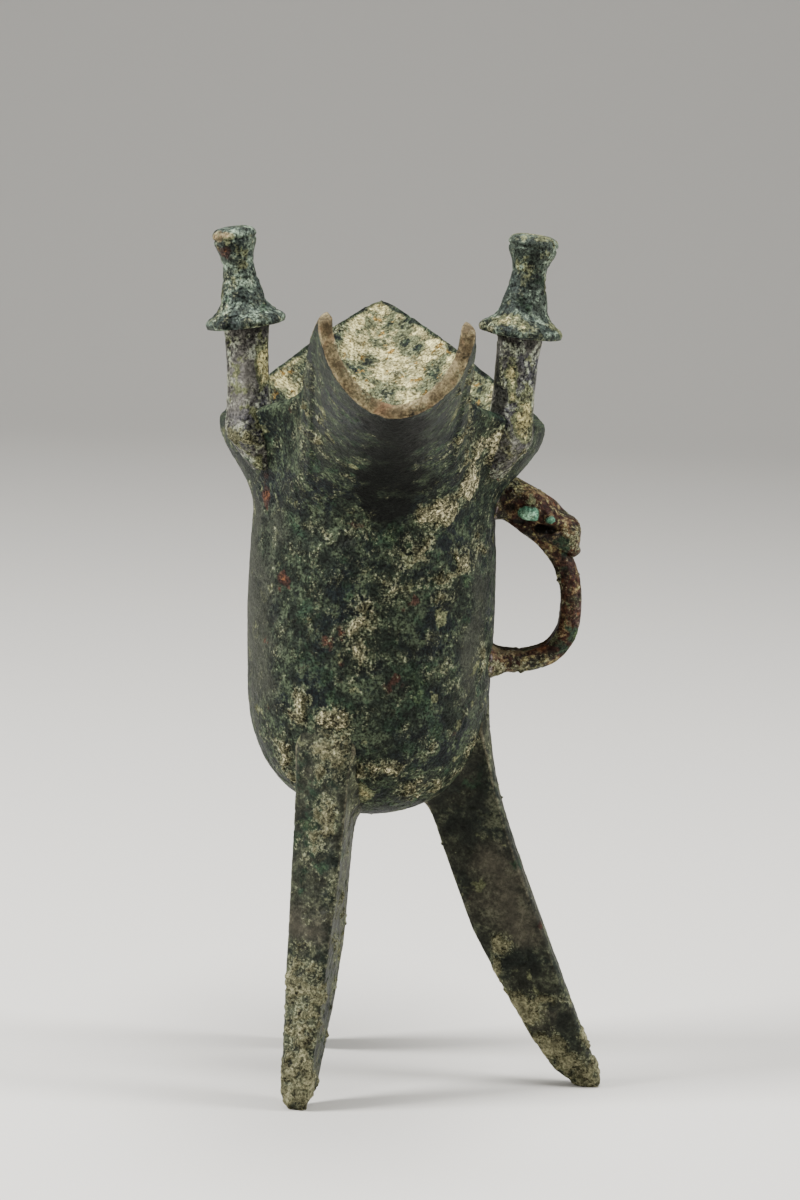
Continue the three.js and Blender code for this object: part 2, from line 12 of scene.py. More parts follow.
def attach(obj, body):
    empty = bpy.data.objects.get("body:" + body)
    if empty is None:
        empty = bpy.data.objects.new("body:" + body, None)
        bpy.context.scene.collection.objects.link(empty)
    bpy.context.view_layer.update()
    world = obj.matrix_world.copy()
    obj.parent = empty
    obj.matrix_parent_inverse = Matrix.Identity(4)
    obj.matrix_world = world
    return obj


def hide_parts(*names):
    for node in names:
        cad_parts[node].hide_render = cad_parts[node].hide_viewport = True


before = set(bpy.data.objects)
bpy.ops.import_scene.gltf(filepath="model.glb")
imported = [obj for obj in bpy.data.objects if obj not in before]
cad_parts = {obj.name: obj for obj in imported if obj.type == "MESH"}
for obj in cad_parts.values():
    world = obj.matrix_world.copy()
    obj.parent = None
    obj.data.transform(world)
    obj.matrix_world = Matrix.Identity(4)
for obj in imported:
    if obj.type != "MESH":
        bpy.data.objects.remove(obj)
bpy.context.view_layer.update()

mm = 0.001
cupAxis = np.array([-8.784, 5.0, 0.0])  # where the cup's axis stands in the frame, in millimetres
print("frame loaded")


# Camera

camera = {
    "distance": 1050.0,  # from the lens to the aim point
    "aim": (6.5, 0.0, 111.9),  # from the cup's axis
    "pitch": 8.5,  # degrees down
    "roll": 2.0,  # degrees, turns the picture clockwise
    "lens": 138.16,
    "sensor": 36.0,
    "clip": (0.05, 20.0),  # metres
}


def addCamera():
    # Forward points down by the pitch, and right and up are rolled round it
    pitch = math.radians(camera["pitch"])
    roll = math.radians(camera["roll"])
    forward = np.array([0.0, math.cos(pitch), -math.sin(pitch)])
    level = np.array([1.0, 0.0, 0.0])
    upright = np.cross(level, forward)
    turn = np.identity(4)
    turn[:3, 0] = level * math.cos(roll) + upright * math.sin(roll)
    turn[:3, 1] = upright * math.cos(roll) - level * math.sin(roll)
    turn[:3, 2] = -forward
    turn[:3, 3] = (np.array(camera["aim"]) + cupAxis - forward * camera["distance"]) * mm
    data = bpy.data.cameras.new("photoCamera")
    data.lens = camera["lens"]
    data.sensor_width = camera["sensor"]
    data.clip_start, data.clip_end = camera["clip"]
    seen = bpy.data.objects.new("photoCamera", data)
    seen.matrix_world = Matrix(turn.tolist())
    bpy.context.scene.collection.objects.link(seen)
    bpy.context.scene.camera = seen


addCamera()
print("camera placed")


# Numbers and noise

def smoothStep(value, low, high):
    # 0 up to low, 1 from high on, level at both ends
    share = np.clip((value - low) / (high - low), 0.0, 1.0)
    return share * share * (3.0 - 2.0 * share)


def mixed(low, high, share):
    # A straight run from low at share 0 to high at share 1
    return low + (high - low) * share


def cornerHash(corner, seed):
    # Whole-number scramble of a lattice corner and the seed, 32 bits; the keys are large odd numbers
    keys = np.array([374761393, 668265263, 1442695041], dtype=np.int64)
    scramble = 1274126177
    value = ((corner * keys).sum(-1) + seed * scramble) & 0xFFFFFFFF
    value = ((value ^ (value >> 13)) * scramble) & 0xFFFFFFFF
    return value ^ (value >> 16)


def hashParts(value):
    # Three numbers from -1 to 1 out of one hash
    return np.stack([(value >> shift & 1023) / 511.5 - 1.0 for shift in (0, 10, 20)], axis=-1)


def gradientNoise(points, cell, seed):
    # A random slope at each corner of a cubic lattice, blended by the fifth-power step: about -1 to 1
    place = points / cell
    corner = np.floor(place).astype(np.int64)
    part = place - corner
    blend = part**3 * (part * (part * 6.0 - 15.0) + 10.0)
    total = np.zeros(points.shape[:-1])
    for step in np.ndindex(2, 2, 2):
        step = np.array(step)
        weight = np.where(step == 1, blend, 1.0 - blend).prod(-1)
        slope = hashParts(cornerHash(corner + step, seed))
        total += weight * (slope * (part - step)).sum(-1)
    return 1.5 * total


octave = {"shrink": 1.93, "fade": 0.52, "shift": 17.3, "seedStep": 31}  # from one layer of noise to the next


def layeredNoise(points, cell, layers, seed):
    # Gradient noise in octaves: each layer half the size and about half the height of the one before
    total = np.zeros(points.shape[:-1])
    for number in range(layers):
        shifted = points + octave["shift"] * (number + 1)
        size = cell / octave["shrink"] ** number
        total += gradientNoise(shifted, size, seed + octave["seedStep"] * number) * octave["fade"] ** number
    return total


def cellNoise(points, cell, seed):
    # Distance to the nearest of one random point a lattice cell, in cells: 0 on a grain's middle
    place = points / cell
    corner = np.floor(place).astype(np.int64)
    part = place - corner
    nearest = np.full(points.shape[:-1], 9.0)
    for step in np.ndindex(3, 3, 3):
        step = np.array(step) - 1
        jitter = 0.5 + 0.42 * hashParts(cornerHash(corner + step, seed))
        nearest = np.minimum(nearest, ((step + jitter - part) ** 2).sum(-1))
    return np.sqrt(nearest)


def patchField(points, patches):
    # The highest of soft ellipsoids: each its strength at its middle and 0 at its radii
    field = np.zeros(points.shape[:-1])
    for middle, radii, strength in patches:
        away = np.sqrt((((points - np.array(middle)) / np.array(radii)) ** 2).sum(-1))
        field = np.maximum(field, strength * np.clip(1.0 - away, 0.0, 1.0) ** 0.7)
    return field


# Surfaces

def sizeOf(vectors):
    # The length of each vector, in a column of its own
    return np.linalg.norm(vectors, axis=-1, keepdims=True)


def runLength(line):
    # How far along the line each of its points lies
    gaps = np.linalg.norm(np.diff(line, axis=0), axis=-1)
    return np.concatenate([0 * gaps[:1], np.cumsum(gaps, axis=0)])


curveSteps = 48  # from one point that a curve runs through to the next


def throughPoints(points, shares):
    # Centripetal Catmull-Rom curve through the points, read at shares of its length
    points = np.asarray(points, dtype=float)
    padded = np.vstack([2 * points[0] - points[1], points, 2 * points[-1] - points[-2]])
    before, start, end, after = padded[:-3], padded[1:-2], padded[2:-1], padded[3:]
    gapBefore, gapHere, gapAfter = (sizeOf(gap) ** 0.5 for gap in (start - before, end - start, after - end))
    leave = (start - before) / gapBefore - (end - before) / (gapBefore + gapHere) + (end - start) / gapHere
    arrive = (end - start) / gapHere - (after - start) / (gapHere + gapAfter) + (after - end) / gapAfter
    leave, arrive = (leave * gapHere)[:, None], (arrive * gapHere)[:, None]
    start, end = start[:, None], end[:, None]
    part = np.linspace(0.0, 1.0, curveSteps, endpoint=False)[None, :, None]
    spans = (
        start
        + leave * part
        + (3 * (end - start) - 2 * leave - arrive) * part**2
        + (2 * (start - end) + leave + arrive) * part**3
    )
    line = np.vstack([spans.reshape(-1, points.shape[1]), points[-1]])
    length = runLength(line)
    read = np.asarray(shares, dtype=float) * length[-1]
    return np.stack([np.interp(read, length, line[:, axis]) for axis in range(points.shape[1])], axis=-1)


def gridNormals(grid):
    # Cross product of the step round the ring and the step up, on rings that close on themselves
    across = np.roll(grid, -1, axis=1) - np.roll(grid, 1, axis=1)
    upward = np.gradient(grid, axis=0)
    normal = np.cross(across, upward)
    return normal / np.maximum(sizeOf(normal), 1e-9)


def ringSection(corners, count, rounding):
    # Points evenly round a closed polygon, its corners softened by averaging each with its neighbours
    corners = np.asarray(corners, dtype=float)
    closed = np.concatenate([corners, corners[..., :1, :]], axis=-2)
    model = closed.reshape(-1, *closed.shape[-2:]).mean(0)
    length = runLength(model)
    read = np.linspace(0.0, length[-1], count, endpoint=False)
    span = np.clip(np.searchsorted(length, read, side="right") - 1, 0, len(length) - 2)
    part = ((read - length[span]) / (length[span + 1] - length[span]))[:, None]
    ring = closed[..., span, :] * (1.0 - part) + closed[..., span + 1, :] * part
    for _ in range(rounding):
        ring = 0.5 * ring + 0.25 * (np.roll(ring, 1, axis=-2) + np.roll(ring, -1, axis=-2))
    return ring


def roundedEnds(grid, startDepth, endDepth, steps=7):
    # Rings that draw in to a point along a superellipse quarter, before the first ring and after the last
    power = 2.6
    turn = np.linspace(0.0, 1.0, steps + 1)[1:-1]
    width = (1.0 - turn**power) ** (1.0 / power)

    def drawIn(ring, nextRing, depth):
        # Narrower copies of the ring, onward from the next ring's middle through its own
        middle = ring.mean(0)
        along = middle - nextRing.mean(0)
        along = along / np.linalg.norm(along)
        rings = middle + (ring - middle)[None] * width[:, None, None] + along * (depth * turn)[:, None, None]
        return rings, middle + along * depth

    first, firstPole = drawIn(grid[0], grid[1], startDepth)
    last, lastPole = drawIn(grid[-1], grid[-2], endDepth)
    return np.concatenate([first[::-1], grid, last]), firstPole, lastPole


def faceRows(*corners):
    # One array of point numbers for each corner becomes one row of numbers for each face
    return np.stack(corners, axis=-1).reshape(-1, len(corners))


def tubeFaces(rowCount, columnCount):
    # Quads between the rings, and a fan to each pole; the poles are the last two points
    low = np.arange(rowCount - 1)[:, None] * columnCount
    high = low + columnCount
    column = np.arange(columnCount)
    after = (column + 1) % columnCount
    top = (rowCount - 1) * columnCount
    pole = np.full_like(column, rowCount * columnCount)
    return [
        faceRows(low + column, low + after, high + after, high + column),
        faceRows(pole, after, column),
        faceRows(top + column, top + after, pole + 1),
    ]


def addMesh(name, points, faces, fields, material, nodes, normals=None):
    # Points in millimetres from the cup's axis; faces are arrays of corner numbers, one row a face
    mesh = bpy.data.meshes.new(name)
    corners = np.concatenate([face.ravel() for face in faces])
    sizes = np.concatenate([np.full(len(face), face.shape[1]) for face in faces])
    starts = np.concatenate([[0], np.cumsum(sizes)[:-1]])
    mesh.vertices.add(len(points))
    mesh.vertices.foreach_set("co", ((points + cupAxis) * mm).astype(np.float32).ravel())
    mesh.loops.add(len(corners))
    mesh.loops.foreach_set("vertex_index", corners.astype(np.int32))
    mesh.polygons.add(len(sizes))
    mesh.polygons.foreach_set("loop_start", starts.astype(np.int32))
    mesh.polygons.foreach_set("use_smooth", np.ones(len(sizes), dtype=bool))
    mesh.update(calc_edges=True)
    mesh.validate()
    for field, values in fields.items():
        attribute = mesh.attributes.new(field, "FLOAT", "POINT")
        attribute.data.foreach_set("value", values.astype(np.float32))
    if normals is not None:
        mesh.normals_split_custom_set_from_vertices(normals)
    mesh.materials.append(material)
    piece = bpy.data.objects.new(name, mesh)
    bpy.context.scene.collection.objects.link(piece)
    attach(piece, "root")
    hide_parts(*nodes)
    print(name, len(points), "points")


# Weathering: what the ground did to the surface, and some painted light: the dark field also paints shade in
# unlit hollows, and the edge field paints a highlight along edges. Each field is about 0 to 1 and also drives
# the colours

# How strongly noise breaks up each field, its size in millimetres and its layers
fieldNoise = {
    "green": (0.38, 5.0, 4),
    "rust": (0.4, 4.2, 4),
    "film": (0.28, 9.0, 4),
    "pale": (0.52, 6.0, 5),
    "tan": (0.25, 4.5, 4),
    "ochre": (0.46, 3.0, 3),
    "teal": (0.14, 2.6, 3),
    "dark": (0.3, 7.0, 4),
}


# How the surface is shaped: noises as size in millimetres and layers, heights and depths in millimetres
surface = {
    "waves": ((9.0, 3), (3.6, 4), (1.5, 3)),  # broad, medium and fine
    "waveHeights": (0.06, 0.085, 0.07),
    "veins": (5.5, 3),  # the crust grows thicker along these winding lines
    "pits": (2.4, 3),
    "pitDepth": 0.2,
    "wartHeight": 0.12,
    "grain": 1.45,  # across one grain of the crust
    "grainStir": 0.4,  # how far the fine noise pushes the grains about
    "crustNoise": (0.18, 0.26, 0.16, 0.2),  # shares of the broad, medium and fine noise and of the veins
    "underDark": 0.34,  # how much less of each growth there is where the dark field is high: dark patina, and painted shade in unlit hollows
    "underFilm": {"green": 0.32, "crust": 0.1},  # and of these where the smooth skin is whole
    "filmFlat": 0.7,  # how much flatter the surface is there
    "offEdges": 0.75,  # how much less stands on sharp edges
    "tubeEdges": (0.05, 0.3),  # how far a point stands out where an edge begins, and where it is sharp
    "wallEdges": (0.2, 0.6),  # the same for the cup's wall
    "shows": {  # from which value to which each comes to show
        "dark": (0.45, 0.9),
        "film": (0.35, 0.85),
        "flat": (0.3, 0.8),
        "crust": (0.42, 0.6),
        "cavity": (0.55, 0.85),
        "pits": (0.3, 0.62),
        "warts": (0.5, 0.8),
    },
}


def weather(points, normal, recipe, adjust=None):
    # Height = low cast relief + crust that stands proud in grains + malachite warts - corrosion pits
    seed, levels, patches = recipe["seed"], recipe["levels"], recipe["patches"]
    shows = surface["shows"]
    broad, medium, fine = (
        layeredNoise(points, *noise, seed + number) for number, noise in enumerate(surface["waves"])
    )
    grain = cellNoise(points + surface["grainStir"] * fine[..., None], surface["grain"], seed + 3)
    veins = 1.0 - 2.2 * np.abs(layeredNoise(points, *surface["veins"], seed + 4))
    fields = {"crust": levels["crust"] + patchField(points, patches["crust"])}
    for number, (name, (strength, *noise)) in enumerate(fieldNoise.items()):
        broken = strength * layeredNoise(points, *noise, seed + 40 + 7 * number)
        fields[name] = levels.get(name, 0.0) + patchField(points, patches.get(name, [])) + broken
    if adjust is not None:
        adjust(fields, points, normal)
    # The dark field is dark patina in places and painted shade in others; growth thins under both
    darkPatinaAndShade = smoothStep(fields["dark"], *shows["dark"])
    for name in ("green", "crust", "pale", "film", "ochre", "rust"):
        fields[name] -= surface["underDark"] * darkPatinaAndShade
    smooth = smoothStep(fields["film"], *shows["film"])
    for name, amount in surface["underFilm"].items():
        fields[name] -= amount * smooth
    for share, noise in zip(surface["crustNoise"], (broad, medium, fine, veins - 0.6)):
        fields["crust"] = fields["crust"] + share * noise
    crusted = smoothStep(fields["crust"], *shows["crust"])
    fields["chalk"] = np.minimum(fields["crust"], 0.6) + 0.45 * (0.5 - grain) + 0.15 * fine
    fields["chalk"] += levels.get("chalk", 0.0) + patchField(points, patches.get("chalk", [])) * crusted
    fields["cavity"] = crusted * smoothStep(grain, *shows["cavity"])
    pits = layeredNoise(points, *surface["pits"], seed + 6)
    pitted = smoothStep(pits, *shows["pits"]) * (1.0 - crusted)
    rough = 1.0 - surface["filmFlat"] * smoothStep(fields["film"], *shows["flat"])
    broadHeight, mediumHeight, fineHeight = surface["waveHeights"]
    height = (mediumHeight * medium + fineHeight * fine) * rough
    height += broadHeight * broad * recipe.get("waves", 1.0)
    height += crusted * recipe["crustThick"] * (0.5 + 0.5 * medium + 0.85 * np.minimum(0.55 - grain, 0.25))
    height += surface["wartHeight"] * smoothStep(fields["green"], *shows["warts"]) * (0.5 + 0.8 * fine)
    height -= surface["pitDepth"] * pitted * rough
    return height, fields


def convexity(grid, normal, reach=3):
    # How far each point stands out, along its normal, from the middle of its neighbours on four sides
    padded = np.concatenate([np.repeat(grid[:1], reach, axis=0), grid, np.repeat(grid[-1:], reach, axis=0)])
    around = np.roll(grid, reach, axis=1) + np.roll(grid, -reach, axis=1)
    above = padded[2 * reach :] + padded[: -2 * reach]
    return ((grid - (around + above) / 4.0) * normal).sum(-1)


def weatheredTube(name, grid, depths, recipe, material, node, shape=None, adjust=None):
    # A ring grid closed at both ends, moved along its normals by its own shape and by the weather
    grid, firstPole, lastPole = roundedEnds(grid, *depths)
    if shape is not None:
        grid, firstPole, lastPole = shape(grid, gridNormals(grid), firstPole, lastPole)
    normal = gridNormals(grid)
    height, fields = weather(grid, normal, recipe, adjust)
    # The edge field: where the surface stands out; it carries less crust, and where it colours the surface
    # pale it is partly wear and partly a painted highlight
    fields["edge"] = smoothStep(convexity(grid, normal), *surface["tubeEdges"])
    moved = grid + normal * (height * (1.0 - surface["offEdges"] * fields["edge"]))[..., None]
    points = np.concatenate([moved.reshape(-1, 3), [firstPole, lastPole]])
    points[:, 2] = np.maximum(points[:, 2], 0.0)  # nothing reaches below the surface it stands on
    ends = {
        key: np.append(values.ravel(), [values[0].mean(), values[-1].mean()])
        for key, values in fields.items()
    }
    addMesh(name, points, tubeFaces(*grid.shape[:2]), ends, material, [node])


# Materials

def linear(hexColour):
    # sRGB hex to linear light
    parts = np.array([int(hexColour[at : at + 2], 16) for at in (1, 3, 5)]) / 255.0
    light = np.where(parts <= 0.04045, parts / 12.92, ((parts + 0.055) / 1.055) ** 2.4)
    return (*light.tolist(), 1.0)


def addNode(tree, kind, settings=None, links=None, output=0):
    # Adds a node, sets its sockets and properties, joins its inputs to outputs, and gives one of its own
    node = tree.nodes.new(kind)
    for key, value in (settings or {}).items():
        if isinstance(key, int) or key in node.inputs:
            node.inputs[key].default_value = value
        else:
            setattr(node, key, value)
    for key, source in (links or {}).items():
        tree.links.new(source, node.inputs[key])
    return node.outputs[output] if node.outputs else None


# Sizes of the patterns in the patina, in millimetres, and how rough each is
patterns = {
    "cloud": {"size": 11.0, "detail": 4.0, "rough": 0.55},
    "mottle": {"size": 3.4, "detail": 6.0, "rough": 0.64},
    "fleck": {"size": 1.3, "detail": 4.0, "rough": 0.68},
    "grit": {"size": 0.62, "detail": 2.0, "rough": 0.7},
}
# How the patterns shade every patina
shading = {
    "laceWidth": 0.075,  # how far from its mean the fleck still counts as lace
    "noiseRange": (0.36, 0.64),  # most of a noise lies between these
    "lights": {"mottle": (0.42, 1.3), "fleck": (0.72, 1.24)},  # how dark and how light each makes the colour
    "calm": {"tan": 0.4, "film": 0.45},  # how much of that these coats even out
    "calmEdge": (0.35, 0.7, 0.2),  # where they start to, where they fully do, and how ragged that is
    "crustEdge": (0.43, 0.53, 0.35),  # the same for the crust, which is never metallic
    "gloss": (0.88, 1.12),  # how much the fleck polishes and dulls
    "fleckShare": 0.9,  # how much of the fleck the relief adds to the grit
    "specular": 0.1,
}
fieldNames = (
    "crust", "chalk", "cavity", "green", "teal", "rust", "film", "pale", "ochre", "tan", "dark", "edge",
)


def layer(field, colour, low, high, roughness, ragged=0.5, by="fleck", amount=1.0):
    # The colour shows fully where the field, broken by the noise named in by, passes high
    return {"mask": (field, low, high, ragged, by, amount), "colour": colour, "roughness": roughness}


def patinaMaterial(name, look):
    # The base colour, then layers: each shows where its field plus a little fleck passes its edge
    material = bpy.data.materials.new(name)
    material.use_nodes = True
    tree = material.node_tree
    tree.nodes.clear()
    place = addNode(tree, "ShaderNodeTexCoord", output="Object")
    source = {}
    for pattern, sizes in patterns.items():
        settings = {
            "Scale": 1.0 / (sizes["size"] * mm),
            "Detail": sizes["detail"],
            "Roughness": sizes["rough"],
        }
        source[pattern] = addNode(tree, "ShaderNodeTexNoise", settings, {"Vector": place}, "Fac")
    for field in fieldNames:
        source[field] = addNode(tree, "ShaderNodeAttribute", {"attribute_name": field}, output="Fac")
    # Lace: 1 on winding lines where the fleck is at its mean, falling off to both sides
    middle = addNode(tree, "ShaderNodeMath", {"operation": "SUBTRACT", 1: 0.5}, {0: source["fleck"]})
    away = addNode(tree, "ShaderNodeMath", {"operation": "ABSOLUTE"}, {0: middle})
    limits = {"From Min": 0.0, "From Max": shading["laceWidth"], "To Min": 1.0, "To Max": 0.0}
    source["lace"] = addNode(tree, "ShaderNodeMapRange", limits, {"Value": away})

    def maskOf(field, low, high, ragged, by="fleck", amount=1.0):
        # Smooth step of the field plus a share of the noise that makes its edge ragged
        settings = {"operation": "MULTIPLY_ADD", 1: ragged}
        edged = addNode(tree, "ShaderNodeMath", settings, {0: source[by], 2: source[field]})
        limits = {
            "interpolation_type": "SMOOTHSTEP",
            "From Min": low + 0.5 * ragged,
            "From Max": high + 0.5 * ragged,
            "To Max": amount,
        }
        return addNode(tree, "ShaderNodeMapRange", limits, {"Value": edged})

    def spread(value, low, high):
        # The middle of a noise's range drawn out to low and high
        start, end = shading["noiseRange"]
        limits = {"From Min": start, "From Max": end, "To Min": low, "To Max": high}
        return addNode(tree, "ShaderNodeMapRange", limits, {"Value": value})

    colour = addNode(tree, "ShaderNodeRGB")
    colour.default_value = linear(look["base"])
    roughness = addNode(tree, "ShaderNodeValue")
    roughness.default_value = look["roughness"]
    for coat in [*look["layers"], *groundLayers]:
        mask = maskOf(*coat["mask"])
        mix = {"data_type": "RGBA", 7: linear(coat["colour"])}
        colour = addNode(tree, "ShaderNodeMix", mix, {0: mask, 6: colour}, 2)
        mix = {"data_type": "FLOAT", 3: coat["roughness"]}
        roughness = addNode(tree, "ShaderNodeMix", mix, {0: mask, 2: roughness})
    crusted = maskOf("crust", *shading["crustEdge"])

    # Grains that catch the light or sit in shade, over slower lights and darks, calmer on smooth skin
    times = {"operation": "MULTIPLY"}
    light = spread(source["grit"], 1.0 - look["speckle"], 1.0 + look["speckle"])
    for pattern, reach in shading["lights"].items():
        light = addNode(tree, "ShaderNodeMath", times, {0: light, 1: spread(source[pattern], *reach)})
    for field, amount in shading["calm"].items():
        calm = maskOf(field, *shading["calmEdge"], amount=amount)
        light = addNode(tree, "ShaderNodeMix", {"data_type": "FLOAT", 3: 1.0}, {0: calm, 2: light})
    colour = addNode(tree, "ShaderNodeVectorMath", {"operation": "SCALE"}, {0: colour, "Scale": light})
    gloss = spread(source["fleck"], *shading["gloss"])
    roughness = addNode(tree, "ShaderNodeMath", times, {0: roughness, 1: gloss})

    settings = {"operation": "MULTIPLY_ADD", 1: shading["fleckShare"]}
    crystal = addNode(tree, "ShaderNodeMath", settings, {0: source["fleck"], 2: source["grit"]})
    limits = {"To Min": look["grain"], "To Max": 1.0}
    grainy = addNode(tree, "ShaderNodeMapRange", limits, {"Value": crusted})
    height = addNode(tree, "ShaderNodeMath", times, {0: crystal, 1: grainy})
    settings = {"Strength": 1.0, "Distance": look["relief"] * mm}
    bump = addNode(tree, "ShaderNodeBump", settings, {"Height": height})
    limits = {"To Min": look["metal"], "To Max": 0.0}
    metallic = addNode(tree, "ShaderNodeMapRange", limits, {"Value": crusted})
    links = {"Base Color": colour, "Roughness": roughness, "Metallic": metallic, "Normal": bump}
    settings = {"Specular IOR Level": shading["specular"]}
    shader = addNode(tree, "ShaderNodeBsdfPrincipled", settings, links)
    addNode(tree, "ShaderNodeOutputMaterial", None, {"Surface": shader})
    return material


# What grows on bronze in the ground, from the metal out: cuprite and rust, malachite in warts and needles,
# lime dust in specks, then earth crust with chalky grains
groundLayers = [
    layer("green", "#233024", 0.4, 0.62, 0.64, ragged=0.7),
    layer("green", "#445139", 0.66, 1.0, 0.75, ragged=1.3),
    layer("teal", "#4f7862", 0.4, 0.55, 0.7),
    layer("teal", "#83aa8e", 0.62, 1.0, 0.8, ragged=1.1),
    layer("rust", "#35201a", 0.5, 0.62, 0.5, amount=0.85),
    layer("rust", "#62402b", 0.72, 0.95, 0.8, ragged=0.9),
    layer("tan", "#62553e", 0.4, 0.6, 0.7, amount=0.94),
    layer("tan", "#7b7054", 0.5, 0.9, 0.75, ragged=1.4, by="mottle"),
    layer("tan", "#876449", 0.75, 1.05, 0.7, ragged=1.6, by="cloud", amount=0.6),
    layer("pale", "#5c5f46", 0.22, 0.36, 0.8, ragged=0.6),
    layer("pale", "#979067", 0.46, 0.62, 0.85, ragged=0.8),
    layer("pale", "#b5ac79", 0.62, 0.8, 0.85, ragged=0.8),
    layer("ochre", "#6f592e", 0.44, 0.58, 0.85, ragged=0.9),
    layer("crust", "#51543f", 0.2, 0.42, 0.85, ragged=0.45, by="lace", amount=0.6),
    layer("crust", "#74765e", 0.42, 0.56, 0.9, ragged=1.9, by="grit", amount=0.65),
    layer("crust", "#50503c", 0.43, 0.52, 0.93, ragged=0.35),
    layer("cavity", "#211f17", 0.1, 0.55, 0.95, ragged=0.6, amount=0.85),
    layer("crust", "#7f7c60", 0.5, 0.7, 0.95, ragged=0.42, by="lace", amount=0.85),
    layer("chalk", "#b0a886", 0.8, 1.06, 0.95, ragged=1.7, by="grit", amount=0.8),
]


patinas = {
    # Cast bronze under a compact green-black skin: a little waxy where bare, matt and granular where crusted
    "greenBlackPatina": {
        "base": "#20271f", "roughness": 0.58, "metal": 0.08,
        "speckle": 0.8, "relief": 0.46, "grain": 0.6,
        "layers": [
            layer("cloud", "#141b1c", 0.46, 0.58, 0.52, ragged=0.3),
            layer("mottle", "#343c2d", 0.48, 0.62, 0.64, ragged=0.6),
            layer("film", "#33352d", 0.25, 0.7, 0.52, ragged=0.7, amount=0.88),
            # The dark layer: dark patina, and painted shade where the dark field is raised in the spout's
            # channel and underside
            layer("dark", "#0c0e0c", 0.38, 0.66, 0.6, ragged=0.4),
        ],
    },
    # A tin-rich grey skin with lilac tone, pale green in flakes
    "greyLilacPatina": {
        "base": "#45433f", "roughness": 0.54, "metal": 0.1,
        "speckle": 0.9, "relief": 0.44, "grain": 0.55,
        "layers": [
            layer("cloud", "#403f44", 0.46, 0.56, 0.45, ragged=0.3),
            layer("mottle", "#75796a", 0.5, 0.6, 0.62, ragged=0.5),
            # The dark layer: dark patina, and painted shade on the right post's left side
            layer("dark", "#22221d", 0.36, 0.6, 0.5, ragged=0.5),
            layer("film", "#696660", 0.3, 0.75, 0.5, ragged=0.7, amount=0.85),
        ],
    },
    # Even grey-green skin, dusty, with the turned form showing through
    "greyGreenPatina": {
        "base": "#394139", "roughness": 0.6, "metal": 0.06,
        "speckle": 0.9, "relief": 0.44, "grain": 0.6,
        "layers": [
            layer("cloud", "#313935", 0.46, 0.56, 0.5, ragged=0.3),
            layer("mottle", "#5d695a", 0.5, 0.62, 0.65, ragged=0.5),
            layer("dark", "#23251d", 0.4, 0.7, 0.5, ragged=0.4),
            layer("film", "#657061", 0.3, 0.75, 0.58, ragged=0.8, amount=0.85),
        ],
    },
    # Cuprite: the red-brown oxide that shows where the handle was rubbed, with yellow-green spots
    "cupritePatina": {
        "base": "#351e16", "roughness": 0.54, "metal": 0.08,
        "speckle": 0.65, "relief": 0.36, "grain": 0.6,
        "layers": [
            layer("cloud", "#2a2620", 0.46, 0.58, 0.45, ragged=0.3),
            layer("mottle", "#5a4a34", 0.48, 0.6, 0.6, ragged=0.7),
            layer("fleck", "#77734f", 0.56, 0.66, 0.7, ragged=0.3, by="cloud"),
            # The dark layer: dark patina, and painted shade in the beast's mouth
            layer("dark", "#14100c", 0.4, 0.7, 0.5, ragged=0.4),
            layer("film", "#63585a", 0.3, 0.75, 0.45, ragged=0.5, amount=0.9),
            # Pale edges: partly rubbed wear, partly a painted highlight along the edges
            layer("edge", "#6f6568", 0.45, 0.9, 0.42, ragged=0.8, amount=0.7),
        ],
    },
    # Smooth grey-brown leg faces, green-black above, edges pale: partly rubbed wear, partly a painted
    # highlight
    "greyBrownPatina": {
        "base": "#2e3027", "roughness": 0.54, "metal": 0.08,
        "speckle": 0.45, "relief": 0.28, "grain": 0.5,
        "layers": [
            layer("cloud", "#202620", 0.46, 0.58, 0.46, ragged=0.3),
            layer("mottle", "#3d4032", 0.5, 0.62, 0.58, ragged=0.5),
            layer("film", "#4b473c", 0.2, 0.8, 0.5, ragged=0.35, amount=0.9),
            layer("dark", "#1b1e18", 0.4, 0.7, 0.45, ragged=0.4),
            layer("edge", "#6c6753", 0.45, 0.95, 0.5, ragged=0.9, amount=0.6),
        ],
    },
}


finish = {name: patinaMaterial(name, look) for name, look in patinas.items()}
print("patinas made")


# The cup, the spout and the tail: one cast wall, in three pieces that meet along the casting lines

